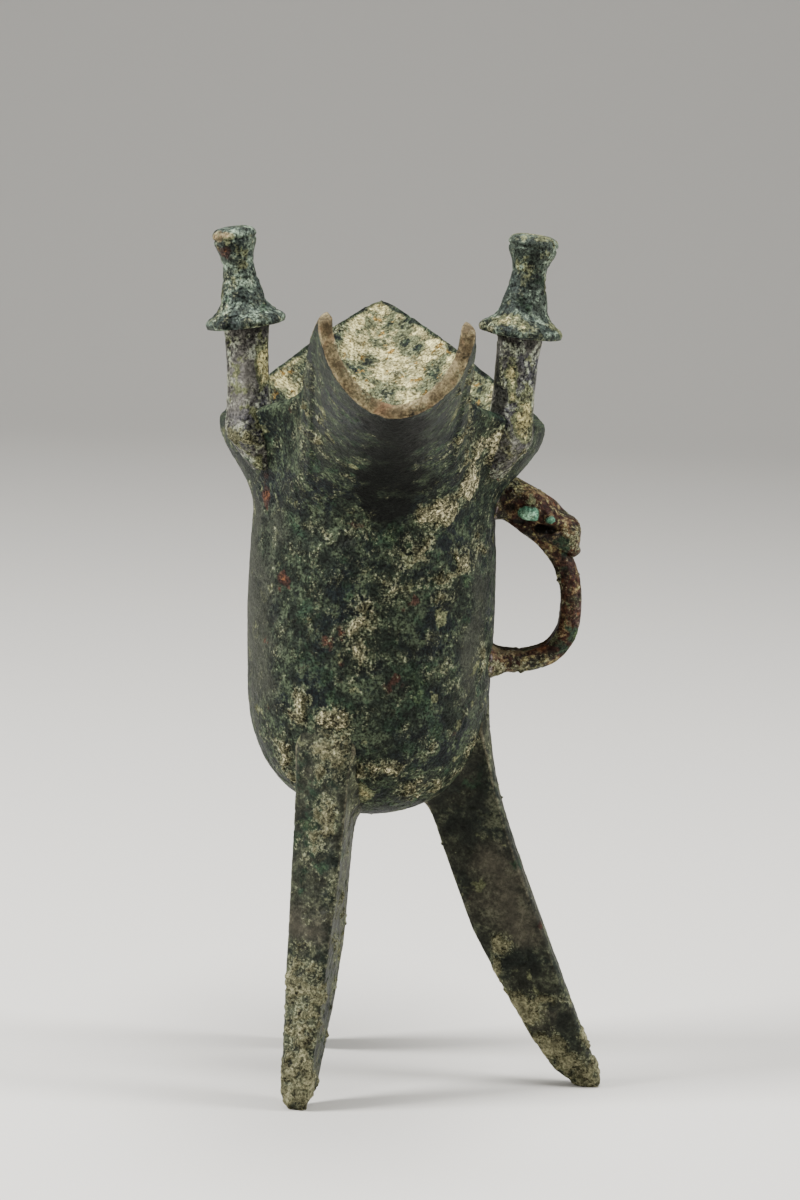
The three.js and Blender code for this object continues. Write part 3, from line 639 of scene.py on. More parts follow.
wall = {
    "bottom": 62.9,
    "bowlTop": 95.0,
    "bowlRadius": 27.7,
    "bowlPower": 2.35,
    "bellyRadius": 28.2,
    "waistHeight": 131.0,
    "waistRadius": 27.5,
    "thick": 2.4,
    "edgeThick": 3.1,
    "thickPower": 1.5,  # how late the wall thickens on its way up to the edge
    "floor": 3.0,
    "sideLimit": 0.62,  # the inside moves sideways no further than this share of the way to the middle
    "crown": 1.1,  # how far the rounded edge stands up past the wall's end
    "crownPower": 0.8,  # under 1 makes the edge fuller than a half ellipse
    "lipHalfWidth": 16.4,
    "lipBottom": (-83.6, 162.4),  # reach and height
    "lipTop": (-86.0, 181.9),
    "lipPower": 1.8,
    "lipTurn": 30.0,  # degrees round the waist, to each side, that flow up into the lip
    "lipTilt": (24.0, 25.0),  # degrees up, at the lip's middle and its tips
    "lipStretch": (29.0, 26.0),  # how long the wall's last stretch is there
    "lift": (13.0, 8.5),  # how far the wall goes straight up from the waist, front and back, and at the sides
    "sideFlare": 36.9,
    "sideReach": 2.0,
    "sideHeight": 151.9,
    "tailReach": 76.0,
    "tailHeight": 171.0,
    "lean": 1.1,
    "tailLean": 1.5,  # how much less of the lean the tail's tip has; over 1 it goes the other way
    "spoutTurn": 2.8,
    "turnPower": 1.3,  # how late along the spout that turn comes
    "spoutTwist": 0.65,
    "turnStart": 18.0,
    "lipColumns": 42,
    "edgeColumns": 138,
    "bowlRows": 80,
    "wallRows": 60,
    "upperRows": 80,
    "crownRows": 8,
    "insideRows": (-1.0, 4.0),  # rows from the crown's middle over which the inside's look comes in
    "skipRows": 3,  # below the waist the inside keeps one row in so many
    "spoutLine": (-20.5, 137.0),  # where the spout starts: the rim's reach, and the height under it
    "tailLine": (20.5, 139.0),
}

# Shares of the way along, out to the side's flare and up, from the side to the spout's tip and the tail's
spoutEdge = [
    (0.864, 0.049, 0.857), (0.693, 0.073, 0.65), (0.534, 0.073, 0.467), (0.409, 0.107, 0.317),
    (0.307, 0.293, 0.2), (0.222, 0.595, 0.113), (0.125, 0.873, 0.04),
]
tailEdge = [
    (0.162, 0.973, 0.031), (0.331, 0.846, 0.162), (0.507, 0.659, 0.372),
    (0.686, 0.466, 0.597), (0.857, 0.26, 0.812), (0.976, 0.076, 0.974),
]
# Where each share of the edge's wall starts on the waist, in degrees round from the front
startTurn = [
    (0, 30), (0.07, 35), (0.16, 41), (0.24, 47), (0.3, 54), (0.36, 63), (0.42, 73), (0.48, 84),
    (0.55, 95), (0.62, 107), (0.7, 122), (0.79, 137), (0.87, 151), (0.95, 168), (1, 180),
]
# How the wall arrives at the rim: at a share of the reach, the last stretch across, onward and up
arrivals = [
    (-1, 0, -23.6, 11), (-0.837, 0.3, -15, 9.5), (-0.651, 0.3, -10, 9), (-0.465, 0.3, -5.5, 8.5),
    (-0.291, 1.2, -2, 7.6), (-0.116, 0.2, -0.6, 7), (0.053, -0.5, 0.4, 6.8), (0.263, 1.4, 2.2, 6.6),
    (0.5, 4, 5.5, 7.5), (0.737, 4, 10, 9.8), (0.921, 2, 15, 12.5), (1, 0, 17.3, 13.5),
]


def lipPoints(share):
    # Superellipse quarter from the middle of the lip's underside to the tip of its side
    turn = share * np.pi / 2
    across = np.sin(turn) ** (2 / wall["lipPower"])
    rise = 1.0 - np.clip(np.cos(turn), 0.0, 1.0) ** (2 / wall["lipPower"])
    reach = mixed(wall["lipBottom"][0], wall["lipTop"][0], rise)
    height = mixed(wall["lipBottom"][1], wall["lipTop"][1], rise)
    return np.stack([wall["lipHalfWidth"] * across, reach, height], axis=-1)


def edgePoints():
    # The rim on one side: the lip's tip, the spout's edge, the flared side, the tail's edge and its tip
    tip = lipPoints(np.array([1.0]))[0]
    side = np.array([wall["sideFlare"], wall["sideReach"], wall["sideHeight"]])
    end = np.array([0.0, wall["tailReach"], wall["tailHeight"]])

    def between(goal, shares):
        # Points on the way from the side to the goal
        along, out, up = np.array(shares).T
        across = mixed(goal[0], side[0], out)
        return np.stack([across, mixed(side[1], goal[1], along), mixed(side[2], goal[2], up)], axis=-1)

    return np.vstack([tip, between(tip, spoutEdge), side, between(end, tailEdge), end])


def arrivalAt(reach):
    # Smooth steps between the arrival rows
    table = np.array(arrivals)
    run = reach / np.where(reach < 0, -wall["lipTop"][0], wall["tailReach"])
    after = np.clip(np.searchsorted(table[:, 0], run), 1, len(table) - 1)
    low, high = table[after - 1], table[after]
    share = smoothStep(run, low[:, 0], high[:, 0])[:, None]
    return mixed(low[:, 1:], high[:, 1:], share)


def wallColumns():
    # For each column of the wall: its degrees round the waist, its rim point and its arrival there
    lipShare = np.arange(wall["lipColumns"]) / wall["lipColumns"]
    edgeShare = np.linspace(0.0, 1.0, wall["edgeColumns"] + 1)
    tilt = np.radians(mixed(*wall["lipTilt"], lipShare))
    stretch = mixed(*wall["lipStretch"], lipShare)
    lipArrival = np.stack([0 * tilt, -np.cos(tilt) * stretch, np.sin(tilt) * stretch], axis=-1)
    edge = throughPoints(edgePoints(), edgeShare)
    turnShare, turnDegrees = np.array(startTurn, dtype=float).T
    degrees = np.concatenate([wall["lipTurn"] * lipShare, np.interp(edgeShare, turnShare, turnDegrees)])
    rim = np.vstack([lipPoints(lipShare), edge])
    arrival = np.vstack([lipArrival, arrivalAt(edge[:, 1])])
    mirror = np.array([-1.0, 1.0, 1.0])
    degrees = np.concatenate([degrees, -degrees[-2:0:-1]])
    rim = np.vstack([rim, rim[-2:0:-1] * mirror])
    arrival = np.vstack([arrival, arrival[-2:0:-1] * mirror])
    return degrees, rim, arrival


def outerWall(degrees, rim, arrival):
    # Rows up the outside: superellipse bowl, bellied wall, then a cubic Bezier to each rim point
    turn = np.radians(degrees)
    compass = np.stack([np.sin(turn), -np.cos(turn)], axis=-1)
    bowl = np.linspace(0.0, 1.0, wall["bowlRows"] + 1)[1:] * np.pi / 2
    power = 2 / wall["bowlPower"]
    radius = wall["bowlRadius"] * np.sin(bowl) ** power
    height = wall["bowlTop"] - (wall["bowlTop"] - wall["bottom"]) * np.clip(np.cos(bowl), 0, 1) ** power
    share = np.linspace(-1.0, 1.0, wall["wallRows"] + 1)[1:-1]
    half = (wall["waistHeight"] - wall["bowlTop"]) / 2
    belly = wall["bellyRadius"]
    bend = (wall["bowlRadius"] + wall["waistRadius"]) / 2 - belly
    slope = (wall["waistRadius"] - wall["bowlRadius"]) / 2
    radius = np.concatenate([radius, belly + slope * share + bend * share**2])
    height = np.concatenate([height, wall["bowlTop"] + half * (share + 1.0)])
    level = np.ones((1, len(turn), 1))
    lower = np.concatenate([radius[:, None, None] * compass, height[:, None, None] * level], axis=-1)
    start = np.concatenate([wall["waistRadius"] * compass, wall["waistHeight"] * level[0]], axis=-1)
    lift = mixed(*wall["lift"], np.sin(turn) ** 2)
    lifted = start + lift[:, None] * np.array([0.0, 0.0, 1.0])
    before = rim - arrival
    part = np.linspace(0.0, 1.0, wall["upperRows"] + 1)[:, None, None]
    rest = 1.0 - part
    upper = rest**3 * start + 3 * rest**2 * part * lifted + 3 * rest * part**2 * before + part**3 * rim
    return np.concatenate([lower, upper])


def settled(points):
    # The rim sits a little to the handle's side, the spout turns that way and twists, the tail the other way
    height = smoothStep(points[..., 2], wall["waistHeight"], wall["sideHeight"])
    back = np.clip((points[..., 1] - wall["turnStart"]) / (wall["tailReach"] - wall["turnStart"]), 0, 1)
    run = np.clip(-points[..., 1] - wall["turnStart"], 0, None) / (-wall["lipTop"][0] - wall["turnStart"])
    moved = points.copy()
    leaned = wall["lean"] * height * (1 - wall["tailLean"] * back)
    moved[..., 0] += leaned + wall["spoutTurn"] * run ** wall["turnPower"]
    moved[..., 2] -= wall["spoutTwist"] * run * points[..., 0] / wall["lipHalfWidth"]
    return moved


def innerWall(outer, normal):
    # The outside moved inwards by the wall's thickness, which grows towards the edge
    lowerRows = len(outer) - 1 - wall["upperRows"]
    share = np.clip((np.arange(len(outer)) - lowerRows) / wall["upperRows"], 0, 1)
    depth = mixed(wall["thick"], wall["edgeThick"], share ** wall["thickPower"])
    move = -normal * depth[:, None, None]
    limit = wall["sideLimit"] * np.abs(outer[..., 0])
    move[..., 0] = np.clip(move[..., 0], -limit, limit)
    return outer + move


def crownRows(outerEdge, innerEdge, arrival, lip):
    # Half round rows over the edge, standing up along the wall's own direction at the lip
    rise = np.where(lip[:, None], arrival, np.array([0.0, 0.0, 1.0]))
    rise = rise / sizeOf(rise)
    turn = np.linspace(0.0, np.pi, wall["crownRows"] + 2)[1:-1][:, None, None]
    middle = (outerEdge + innerEdge) / 2
    half = (outerEdge - innerEdge) / 2
    return middle + half * np.cos(turn) + rise * wall["crown"] * np.sin(turn) ** wall["crownPower"]


cupRecipe = {
    "seed": 11,
    "crustThick": 0.85,
    "bareLip": [((18.3, -86, 177), (5, 6, 2.0), 0.7), ((-13, -84, 172), (3.4, 6, 7), 0.7)],  # no tan there
    "levels": {
        "crust": 0.08, "green": 0.28, "rust": 0.14, "film": -0.05, "pale": -0.1, "tan": -0.2, "ochre": -0.3,
    },
    "patches": {
        "crust": [
            ((26.5, -18.3, 150.3), (8, 9, 6), 0.9),
            ((21.1, -21.8, 142.7), (5.5, 6, 6), 0.95),
            ((14.7, -25.4, 136.2), (7, 6, 5), 0.95),
            ((19.6, -19.8, 125), (4, 5, 4), 0.5),
            ((24, -13.7, 127), (4, 6, 6), 0.5),
            ((9.4, -26, 128.2), (6, 5, 5), 0.5),
            ((-6, -27.5, 131), (16, 8, 3.5), 0.36),
            ((-14, -40, 152), (6, 26, 12), 0.26),
            ((18, -36, 152), (5, 22, 12), 0.3),
            ((-15, -64, 168), (7, 34, 14), 0.34),
            ((20, -64, 167), (7, 34, 14), 0.32),
            ((-2.1, -28, 108), (5, 6, 10), 0.6),
            ((5, -28, 118), (5, 5, 7), 0.32),
            ((16, -23, 119), (5, 6, 6), 0.34),
            ((-8.2, -26, 88.4), (10, 7, 4), 0.62),
            ((-5, -27, 80), (5, 6, 9), 0.6),
            ((-15, -22.7, 90), (5, 6, 6), 0.55),
            ((-17, -16, 77), (5, 7, 9), 0.5),
            ((3.4, -23.9, 77), (8, 8, 3.5), 0.6),
            ((13, -16, 71.5), (9, 9, 4), 0.6),
            ((25, -12.3, 101), (4, 6, 6), 0.45),
            ((23.5, -10.5, 80.8), (4, 5, 4), 0.55),
            ((20.4, -9.5, 73.6), (4, 5, 4), 0.55),
            ((-31, -17, 149.5), (7, 7, 4), 0.42),
            ((28, 2, 98), (6, 8, 5), 0.5),
            ((0, 22, 74), (16, 14, 8), 0.45),
            ((-26, 12, 100), (6, 10, 12), 0.35),
            ((6, 27, 120), (12, 8, 9), 0.4),
        ],
        "chalk": [
            ((26.5, -18.3, 150.3), (8, 9, 6), 0.4),
            ((21.1, -21.8, 142.7), (6, 6, 7), 0.4),
            ((14.7, -25.4, 136.2), (7, 6, 5), 0.28),
            ((19.6, -19.8, 125), (4, 5, 4), 0.2),
            ((-2.1, -28, 108), (5, 6, 9), 0.2),
            ((-8.2, -26, 86), (9, 8, 9), 0.3),
            ((-17, -16, 77), (5, 7, 9), 0.15),
            ((3.4, -23.9, 77), (8, 8, 3.5), 0.25),
            ((13, -16, 71.5), (9, 9, 4), 0.25),
        ],
        "green": [
            ((3.8, -27.3, 129), (6, 6, 5), 0.3),
            ((-8.3, -26.2, 93), (9, 8, 8), 0.3),
            ((9, -26, 94), (9, 8, 11), 0.3),
            ((-12, -23, 115), (8, 8, 9), 0.22),
            ((-14, -22, 106), (4, 5, 4), 0.35),
            ((14, -22, 84), (8, 8, 8), 0.25),
            ((-20, 18, 116), (9, 9, 20), 0.25),
            ((12, 25, 96), (12, 10, 14), 0.28),
        ],
        "rust": [
            ((-8.8, -26.6, 106.3), (6, 5, 8), 0.38),
            ((6.6, -27.3, 113.7), (6, 5, 6), 0.34),
            ((6, -27.2, 98), (4, 5, 10), 0.38),
            ((-20, -18, 108), (6, 6, 6), 0.3),
            ((-24, -13.5, 137), (4, 5, 6), 0.45),
            ((-18.2, -21.3, 118.7), (6, 6, 4), 0.36),
            ((29, 3, 100), (4, 5, 3), 0.6),
        ],
        "film": [
            ((-30, -8, 112), (24, 26, 40), 1.0),
            ((24, -16, 108), (10, 12, 26), 0.85),
            ((-14, -24, 127), (15, 12, 11), 0.5),
            ((-24, -20, 141), (12, 14, 10), 0.45),
            ((26, 10, 112), (8, 16, 24), 0.5),
            ((-13, -40, 156), (6, 26, 14), 0.3),
            ((0, 27, 108), (12, 8, 18), 0.3),
        ],
        "dark": [
            ((10, -26, 106), (10, 8, 12), 0.44),
            ((3, -27, 90), (12, 9, 12), 0.42),
            ((16, -22, 90), (7, 7, 12), 0.36),
            # Painted shade: these five blacken the spout's channel and underside from the waist out to the
            # lip, where little light reaches
            ((4, -32, 137), (12, 14, 8), 0.9),
            ((4, -42, 142), (14, 22, 13), 1.05),
            ((4, -60, 150), (13, 24, 14), 1.05),
            ((4, -76, 158), (12, 20, 12), 1.0),
            ((4, -84, 162), (9, 12, 8), 0.9),
            ((22, -20, 136), (5, 6, 7), 0.5),
            ((18, -22, 130), (6, 5, 6), 0.35),
        ],
    },
}


def rimFields(fields, points, normal, within, toRim):
    # Tan along the spout's lip, mottled lime inside the tail with ochre spots, dark green at the tail's edge
    towardsTail = smoothStep(points[..., 1], 2.0, 26.0)
    towardsLip = smoothStep(-points[..., 1], 46.0, 72.0)
    atEdge = 1.0 - smoothStep(toRim, 0.9, 2.2)
    bare = patchField(points, cupRecipe["bareLip"])
    fields["tan"] += 0.95 * towardsLip * (1.0 - smoothStep(toRim, 1.8, 3.4))
    fields["tan"] -= 0.5 * bare
    fields["film"] += 0.6 * bare
    fields["film"] -= 0.25 * within
    fields["pale"] += within * (0.46 + 0.15 * towardsTail - 0.2 * towardsLip)
    fields["pale"] -= 0.5 * atEdge
    fields["green"] -= 0.2 * within
    fields["green"] += 0.2 * towardsTail * atEdge
    fields["ochre"] += within * (0.44 + 0.14 * towardsTail)
    fields["ochre"] -= 0.3 * atEdge
    fields["crust"] += 0.12 * within - 0.12 * towardsLip * (1.0 - within)


def wallFaces(rim, outer, fineRows, coarseRows):
    # Quads between the rows, shared out to three pieces. Where the wall is cut, both sides close through it
    columnCount = len(rim)
    half = columnCount // 2
    upper = wall["upperRows"]
    lowerRows = len(outer) - 1 - upper

    def at(rows, columns):
        # Faces whose corners are the fine grid's points at these rows and columns
        return faceRows(*(row * columnCount + column % columnCount for row, column in zip(rows, columns)))

    def outerRow(step):
        # The outside's row so many steps above the waist
        return lowerRows + step

    def innerRow(step):
        # The inside's row as many steps above the waist
        return len(outer) + wall["crownRows"] + upper - step

    # Which piece each quad belongs to: 0 the cup, 1 the spout, 2 the tail
    owner = np.zeros((fineRows - 1, columnCount), dtype=int)
    spoutHalf = int(np.argmax(rim[: half + 1, 1] > wall["spoutLine"][0]))
    tailFirst = int(np.argmax(rim[: half + 1, 1] > wall["tailLine"][0]))
    spoutStep = int(np.argmax(outer[lowerRows:, 0, 2] > wall["spoutLine"][1]))
    tailStep = int(np.argmax(outer[lowerRows:, half, 2] > wall["tailLine"][1]))
    ranges = {1: (-spoutHalf, spoutHalf, spoutStep), 2: (tailFirst, columnCount - tailFirst, tailStep)}
    borders = {}
    for piece, (first, last, step) in ranges.items():
        along = np.arange(first, last)
        owner[np.ix_(np.arange(outerRow(step), innerRow(step)), along % columnCount)] = piece
        low = np.arange(step, upper)
        rows = (outerRow(low), outerRow(low + 1), innerRow(low + 1), innerRow(low))
        archRows = np.arange(outerRow(upper), innerRow(upper) + 1)
        sides = [at(rows, [first] * 4), at(archRows, [first] * len(archRows))]
        sides += [at(rows, [last] * 4)[:, ::-1], at(archRows, [last] * len(archRows))[:, ::-1]]
        rows = (outerRow(step), outerRow(step), innerRow(step), innerRow(step))
        borders[piece] = [*sides, at(rows, (along + 1, along, along, along + 1))]

    row, column = np.arange(fineRows - 1)[:, None], np.arange(columnCount)[None]
    quads = at((row, row, row + 1, row + 1), (column, column + 1, column + 1, column))
    owner = owner.ravel()

    # Below the waist the inside has half as many columns
    pair = np.arange(half)
    nextPair = (pair + 1) % half
    start = fineRows * columnCount
    last = fineRows - 1
    three = at([last] * 3, (2 * pair, 2 * pair + 1, 2 * pair + 2)).T
    bottom = faceRows(*three, start + nextPair, start + pair)
    rest = np.arange(coarseRows - 1)[:, None] * half + start
    inside = faceRows(rest + pair, rest + nextPair, rest + half + nextPair, rest + half + pair)
    pole = start + coarseRows * half
    ring = column[0]
    firstFan = faceRows(np.full(columnCount, pole), (ring + 1) % columnCount, ring)
    fanStart = pole - half
    lastFan = faceRows(fanStart + pair, fanStart + nextPair, np.full(half, pole + 1))

    turnedBorders = [face[:, ::-1] for sides in borders.values() for face in sides]
    return {
        "cupBody": [quads[owner == 0], bottom, inside, firstFan, lastFan, *turnedBorders],
        "spoutTrough": [quads[owner == 1], *borders[1]],
        "tailLeaf": [quads[owner == 2], *borders[2]],
    }


wallPieces = {  # the node that each replaces, and its slot
    "cupBody": ("cup_body", "cup_patina"),
    "spoutTrough": ("spout", "spout_patina"),
    "tailLeaf": ("tail", "tail_patina"),
}


def makeWall():
    # Rings up the outside, over the edge and down the inside, with fewer rings and columns below the waist
    degrees, rim, arrival = wallColumns()
    outer = outerWall(degrees, rim, arrival)
    inner = innerWall(outer, gridNormals(outer))
    crown = crownRows(outer[-1], inner[-1], arrival, np.abs(degrees) < wall["lipTurn"])
    lowerRows = len(outer) - 1 - wall["upperRows"]
    fine = settled(np.concatenate([outer, crown, inner[lowerRows:][::-1]]))
    coarse = settled(inner[2 : lowerRows : wall["skipRows"], ::2][::-1])
    faces = wallFaces(rim, outer, len(fine), len(coarse))

    crownMiddle = len(outer) + wall["crownRows"] // 2
    length = runLength(fine)
    toRim = np.abs(length - length[crownMiddle])
    within = smoothStep(np.arange(len(fine)) - crownMiddle, *wall["insideRows"])[:, None]

    def weathered(grid, within, toRim):
        # The grid moved along its normals by the weather, its new normals and its fields
        normal = gridNormals(grid)
        height, fields = weather(grid, normal, cupRecipe, partial(rimFields, within=within, toRim=toRim))
        fields["edge"] = smoothStep(convexity(grid, normal), *surface["wallEdges"])
        grid = grid + normal * height[..., None]
        return grid.reshape(-1, 3), gridNormals(grid).reshape(-1, 3), fields

    finePoints, fineNormals, fineFields = weathered(fine, within, toRim)
    coarsePoints, coarseNormals, coarseFields = weathered(coarse, 1.0, 99.0)  # deep inside, far from the rim
    coarseFields["edge"] *= 0.0
    poles = [(0.0, 0.0, wall["bottom"]), (0.0, 0.0, wall["bottom"] + wall["floor"])]
    points = np.concatenate([finePoints, coarsePoints, poles])
    normals = np.concatenate([fineNormals, coarseNormals, [(0, 0, -1), (0, 0, 1)]])
    fields = {
        key: np.concatenate([fineFields[key].ravel(), coarseFields[key].ravel(), [0.0, 0.0]])
        for key in fineFields
    }
    for name, own in faces.items():
        used = np.unique(np.concatenate([face.ravel() for face in own]))
        number = np.zeros(len(points), dtype=int)
        number[used] = np.arange(len(used))
        node, slot = wallPieces[name]
        addMesh(
            name, points[used], [number[face] for face in own],
            {key: values[used] for key, values in fields.items()},
            finish["greenBlackPatina"], [node], normals[used],
        )


makeWall()
print("wall made")


# The posts on the rim and their caps

posts = {
    "reach": -14.0,
    "footHeight": 142.5,  # inside the cup's wall, which the foot follows down
    "footHeightOutside": 150.0,
    "footDraw": 0.42,  # how far the foot moves towards the cup's axis for each millimetre down
    "leanStart": 147.4,  # the post is upright below this height
    "levelStart": 160.0,  # from here up the rings tilt to the cap's seat
    "seatHeight": 174.6,
    "halfWidth": 4.9,
    "halfDepth": 4.8,
    "columns": 96,
    "rows": 150,
    "widthReadings": 400,  # of the curve through the widths below
    "rounding": 3,  # how many times the section's corners are softened
    "ends": (0.3, 0.3),  # how far the rounded ends reach past the first ring and the last
    "left": {
        "side": -1.0, "foot": -28.2, "top": -29.9, "tilt": 9.2,
        "flange": 8.95, "neck": 3.55, "crown": 4.95, "height": 22.6, "chip": -1.9,
    },
    "right": {
        "side": 1.0, "foot": 29.2, "top": 31.2, "tilt": 6.2,
        "flange": 9.4, "neck": 3.95, "crown": 5.6, "height": 22.9, "chip": -2.75,
    },
}
# Corners of a post's section for the right side, out to the flare and back to the tail, in half widths
postCorners = [
    (0.08, -1), (0.55, -0.72), (0.96, -0.2), (1, 0.35), (0.7, 0.88), (0.2, 1),
    (-0.3, 1), (-0.8, 0.8), (-1, 0.3), (-0.96, -0.25), (-0.55, -0.76),
]
# How wide a post is at shares of its height
postWidths = [
    (0, 0.5), (0.1, 0.78), (0.2, 1.02), (0.29, 1.14), (0.38, 1.07),
    (0.48, 1.0), (0.7, 0.97), (0.88, 0.99), (1, 1.06),
]


def bosses(points, spots):
    # Sum of bells: each its height at its middle, falling off over its radii
    total = np.zeros(points.shape[:-1])
    for middle, radii, height in spots:
        away = (((points - np.array(middle)) / np.array(radii)) ** 2).sum(-1)
        total += height * np.exp(-away)
    return total


postRecipe = {
    "seed": 41,
    "crustThick": 0.35,
    "levels": {
        "crust": 0.16, "green": 0.2, "rust": 0.08, "film": 0.35,
        "pale": 0.08, "tan": -0.1, "dark": 0.04, "ochre": -0.2,
    },
    "patches": {
        "crust": [
            ((-28.7, -18, 150), (8, 6, 4), 0.3),
            ((31, -18, 150), (8, 6, 5), 0.35),
        ],
        "pale": [
            ((-25.8, -17, 168), (2.2, 5, 8), 0.75),
            ((-26.5, -19, 153), (3, 5, 5), 0.7),
            ((29.4, -18.5, 166), (1.9, 3, 7), 0.8),
            ((32.5, -17, 155), (3, 6, 6), 0.7),
        ],
        "film": [((-30.5, -18, 160), (4, 5, 12), 0.4)],
        "dark": [
            # Painted shade down the right post's left side, the side turned away from the light
            ((26.6, -16, 160), (3.4, 6, 14), 0.8),
            ((-28, -18, 171), (4, 4, 3), 0.4),
            ((-33, -16, 160), (1.6, 6, 12), 0.4),
            ((32, -18, 171), (4, 4, 3), 0.4),
        ],
    },
}


def makePost(name, node, spec):
    # A lofted section up a leaning line, trimmed at the top to its cap's tilted seat, its foot flowing out
    share = np.linspace(0.0, 1.0, posts["rows"])
    wide = throughPoints(postWidths, np.linspace(0, 1, posts["widthReadings"]))
    wide = np.interp(share, wide[:, 0], wide[:, 1])
    corners = np.array(postCorners) * np.array([spec["side"] * posts["halfWidth"], posts["halfDepth"]])
    if spec["side"] < 0:
        corners = corners[::-1]
    ring = ringSection(corners, posts["columns"], posts["rounding"])
    height = mixed(posts["footHeight"], posts["seatHeight"], share)
    leaning = np.clip((height - posts["leanStart"]) / (posts["seatHeight"] - posts["leanStart"]), 0, 1)
    lean = mixed(spec["foot"], spec["top"], leaning)
    inward = np.array([-lean[0], -posts["reach"]]) / math.hypot(lean[0], posts["reach"])
    drawn = posts["footDraw"] * np.clip(posts["footHeightOutside"] - height, 0, None)
    grid = np.zeros((len(share), len(ring), 3))
    grid[..., 0] = (lean + drawn * inward[0])[:, None] + ring[None, :, 0] * wide[:, None]
    grid[..., 1] = (posts["reach"] + drawn * inward[1])[:, None] + ring[None, :, 1] * wide[:, None]
    slope = spec["side"] * math.tan(math.radians(spec["tilt"]))
    level = smoothStep(height, posts["levelStart"], posts["seatHeight"])
    grid[..., 2] = height[:, None] - slope * ring[None, :, 0] * (wide * level)[:, None]
    weatheredTube(name, grid, posts["ends"], postRecipe, finish["greyLilacPatina"], node)


capRecipe = {
    "seed": 53,
    "crustThick": 0.16,
    "waves": 0.3,
    "levels": {
        "crust": 0.14, "green": 0.26, "rust": 0.14, "film": 0.3, "pale": 0.1, "tan": -0.1, "ochre": -0.2,
    },
    "patches": {
        "crust": [((24.3, -19, 177), (5, 5, 3), 0.3), ((-36, -18, 177), (4, 5, 3), 0.25)],
        "tan": [
            ((-37.2, -17.5, 194.3), (3.4, 5, 2.6), 1.1),
            ((-34.5, -18.5, 194.8), (3, 4, 1.6), 0.9),
            ((-37, -17, 191.5), (1.6, 4, 3), 0.8),
            ((36.5, -17, 194.5), (1.6, 3, 2), 0.6),
        ],
        "rust": [
            ((-34.8, -17.6, 191.2), (2.4, 4, 3), 0.75),
            ((36, -18, 184), (2, 3, 2), 0.5),
            ((27, -20, 178), (2, 3, 1.5), 0.5),
        ],
        "dark": [((-33.6, -17.7, 189.6), (1.6, 3, 2), 0.6), ((32.5, -19, 194), (5, 3, 1.2), 0.6)],
        "pale": [((32.5, -17, 197), (6, 6, 2.2), 0.4), ((28, -20, 179), (6, 4, 2), 0.3)],
    },
}


def capProfile(spec):
    # Flange, concave cone, narrow neck and domed knob: radius and height, from the seat's middle to the top's
    flange, neck, crown, height = spec["flange"], spec["neck"], spec["crown"], spec["height"]
    side = [
        (flange - 0.2, 0.25), (flange, 0.057 * height), (flange - 0.9, 0.11 * height),
        (flange * 0.64, 0.198 * height), (neck + 1, 0.352 * height), (neck, 0.571 * height),
        (neck + 0.25, 0.703 * height), (crown - 0.25, 0.826 * height), (crown, height - 2.1),
        (crown - 0.7, height - 0.9), (crown * 0.5, height - 0.35), (0.15, height - 0.3),
    ]
    reach = np.linspace(0.15, flange - 1, capRelief["underRows"])
    under = np.stack([reach, 0 * reach], axis=-1)
    return np.vstack([under, throughPoints(side, np.linspace(0, 1, capRelief["rows"]))])


capRelief = {
    "columns": 184,
    "rows": 170,
    "underRows": 14,
    "bands": ((0.125, 0.45), (0.16, 0.2), (0.47, 0.16), (0.62, 0.16), (0.87, 0.35)),  # shares up, and depths
    "bandWidth": 0.36,
    "coneStart": (0.1, 0.16),  # shares up between which the cone's ornament comes in
    "coneEnd": (0.3, 0.38),  # and goes out
    "arms": 4,  # of the whorl on the cone
    "armTwist": 1.1,  # radians of turn for each millimetre up
    "armEdge": (0.35, 0.8),  # of the whorl's wave, from its flats to its grooves
    "armDepth": 0.15,
    "chipDepth": 1.5,
    "chipTurn": (0.1, 0.24),  # radians from the chip's middle to where it ends
    "chipReach": (0.8, 0.97),  # shares of the flange's radius
    "ends": (0.02, 0.02),
}


def makeCap(name, node, spec):
    # The profile turned round, tilted on its seat, with grooves, a worn whorl and a chip in its flange
    profile = capProfile(spec)
    turn = np.linspace(0, 2 * np.pi, capRelief["columns"], endpoint=False)
    tilt = math.radians(spec["side"] * spec["tilt"])
    cosine, sine = math.cos(tilt), math.sin(tilt)
    tall = spec["height"]
    radius, rise = profile[:, None, 0], profile[:, None, 1]
    whorl = np.cos(capRelief["arms"] * turn[None] + capRelief["armTwist"] * rise)
    started = smoothStep(rise, *(share * tall for share in capRelief["coneStart"]))
    ended = smoothStep(rise, *(share * tall for share in capRelief["coneEnd"]))
    cone = started * (1 - ended)
    relief = -capRelief["armDepth"] * smoothStep(whorl, *capRelief["armEdge"]) * cone
    for band, deep in capRelief["bands"]:
        relief = relief - deep * np.exp(-(((rise - band * tall) / capRelief["bandWidth"]) ** 2))
    away = np.abs(np.mod(turn - spec["chip"] + np.pi, 2 * np.pi) - np.pi)[None]
    flangeZone = smoothStep(radius, *(share * spec["flange"] for share in capRelief["chipReach"]))
    chip = capRelief["chipDepth"] * flangeZone
    relief = relief - chip * (1 - smoothStep(away, *capRelief["chipTurn"]))
    worn = radius + relief
    local = np.stack([worn * np.cos(turn), worn * np.sin(turn), rise + 0 * turn], axis=-1)
    grid = local.copy()
    grid[..., 0] = local[..., 0] * cosine + local[..., 2] * sine + spec["top"]
    grid[..., 1] += posts["reach"]
    grid[..., 2] = local[..., 2] * cosine - local[..., 0] * sine + posts["seatHeight"]
    patina = finish["greyGreenPatina"]
    weatheredTube(name, grid, capRelief["ends"], capRecipe, patina, node)


makePost("postLeft", "post_left", posts["left"])
makePost("postRight", "post_right", posts["right"])
makeCap("capLeft", "cap_left", posts["left"])
makeCap("capRight", "cap_right", posts["right"])
print("posts and caps made")


# The handle: a strap in a loop, with a beast's head over its top

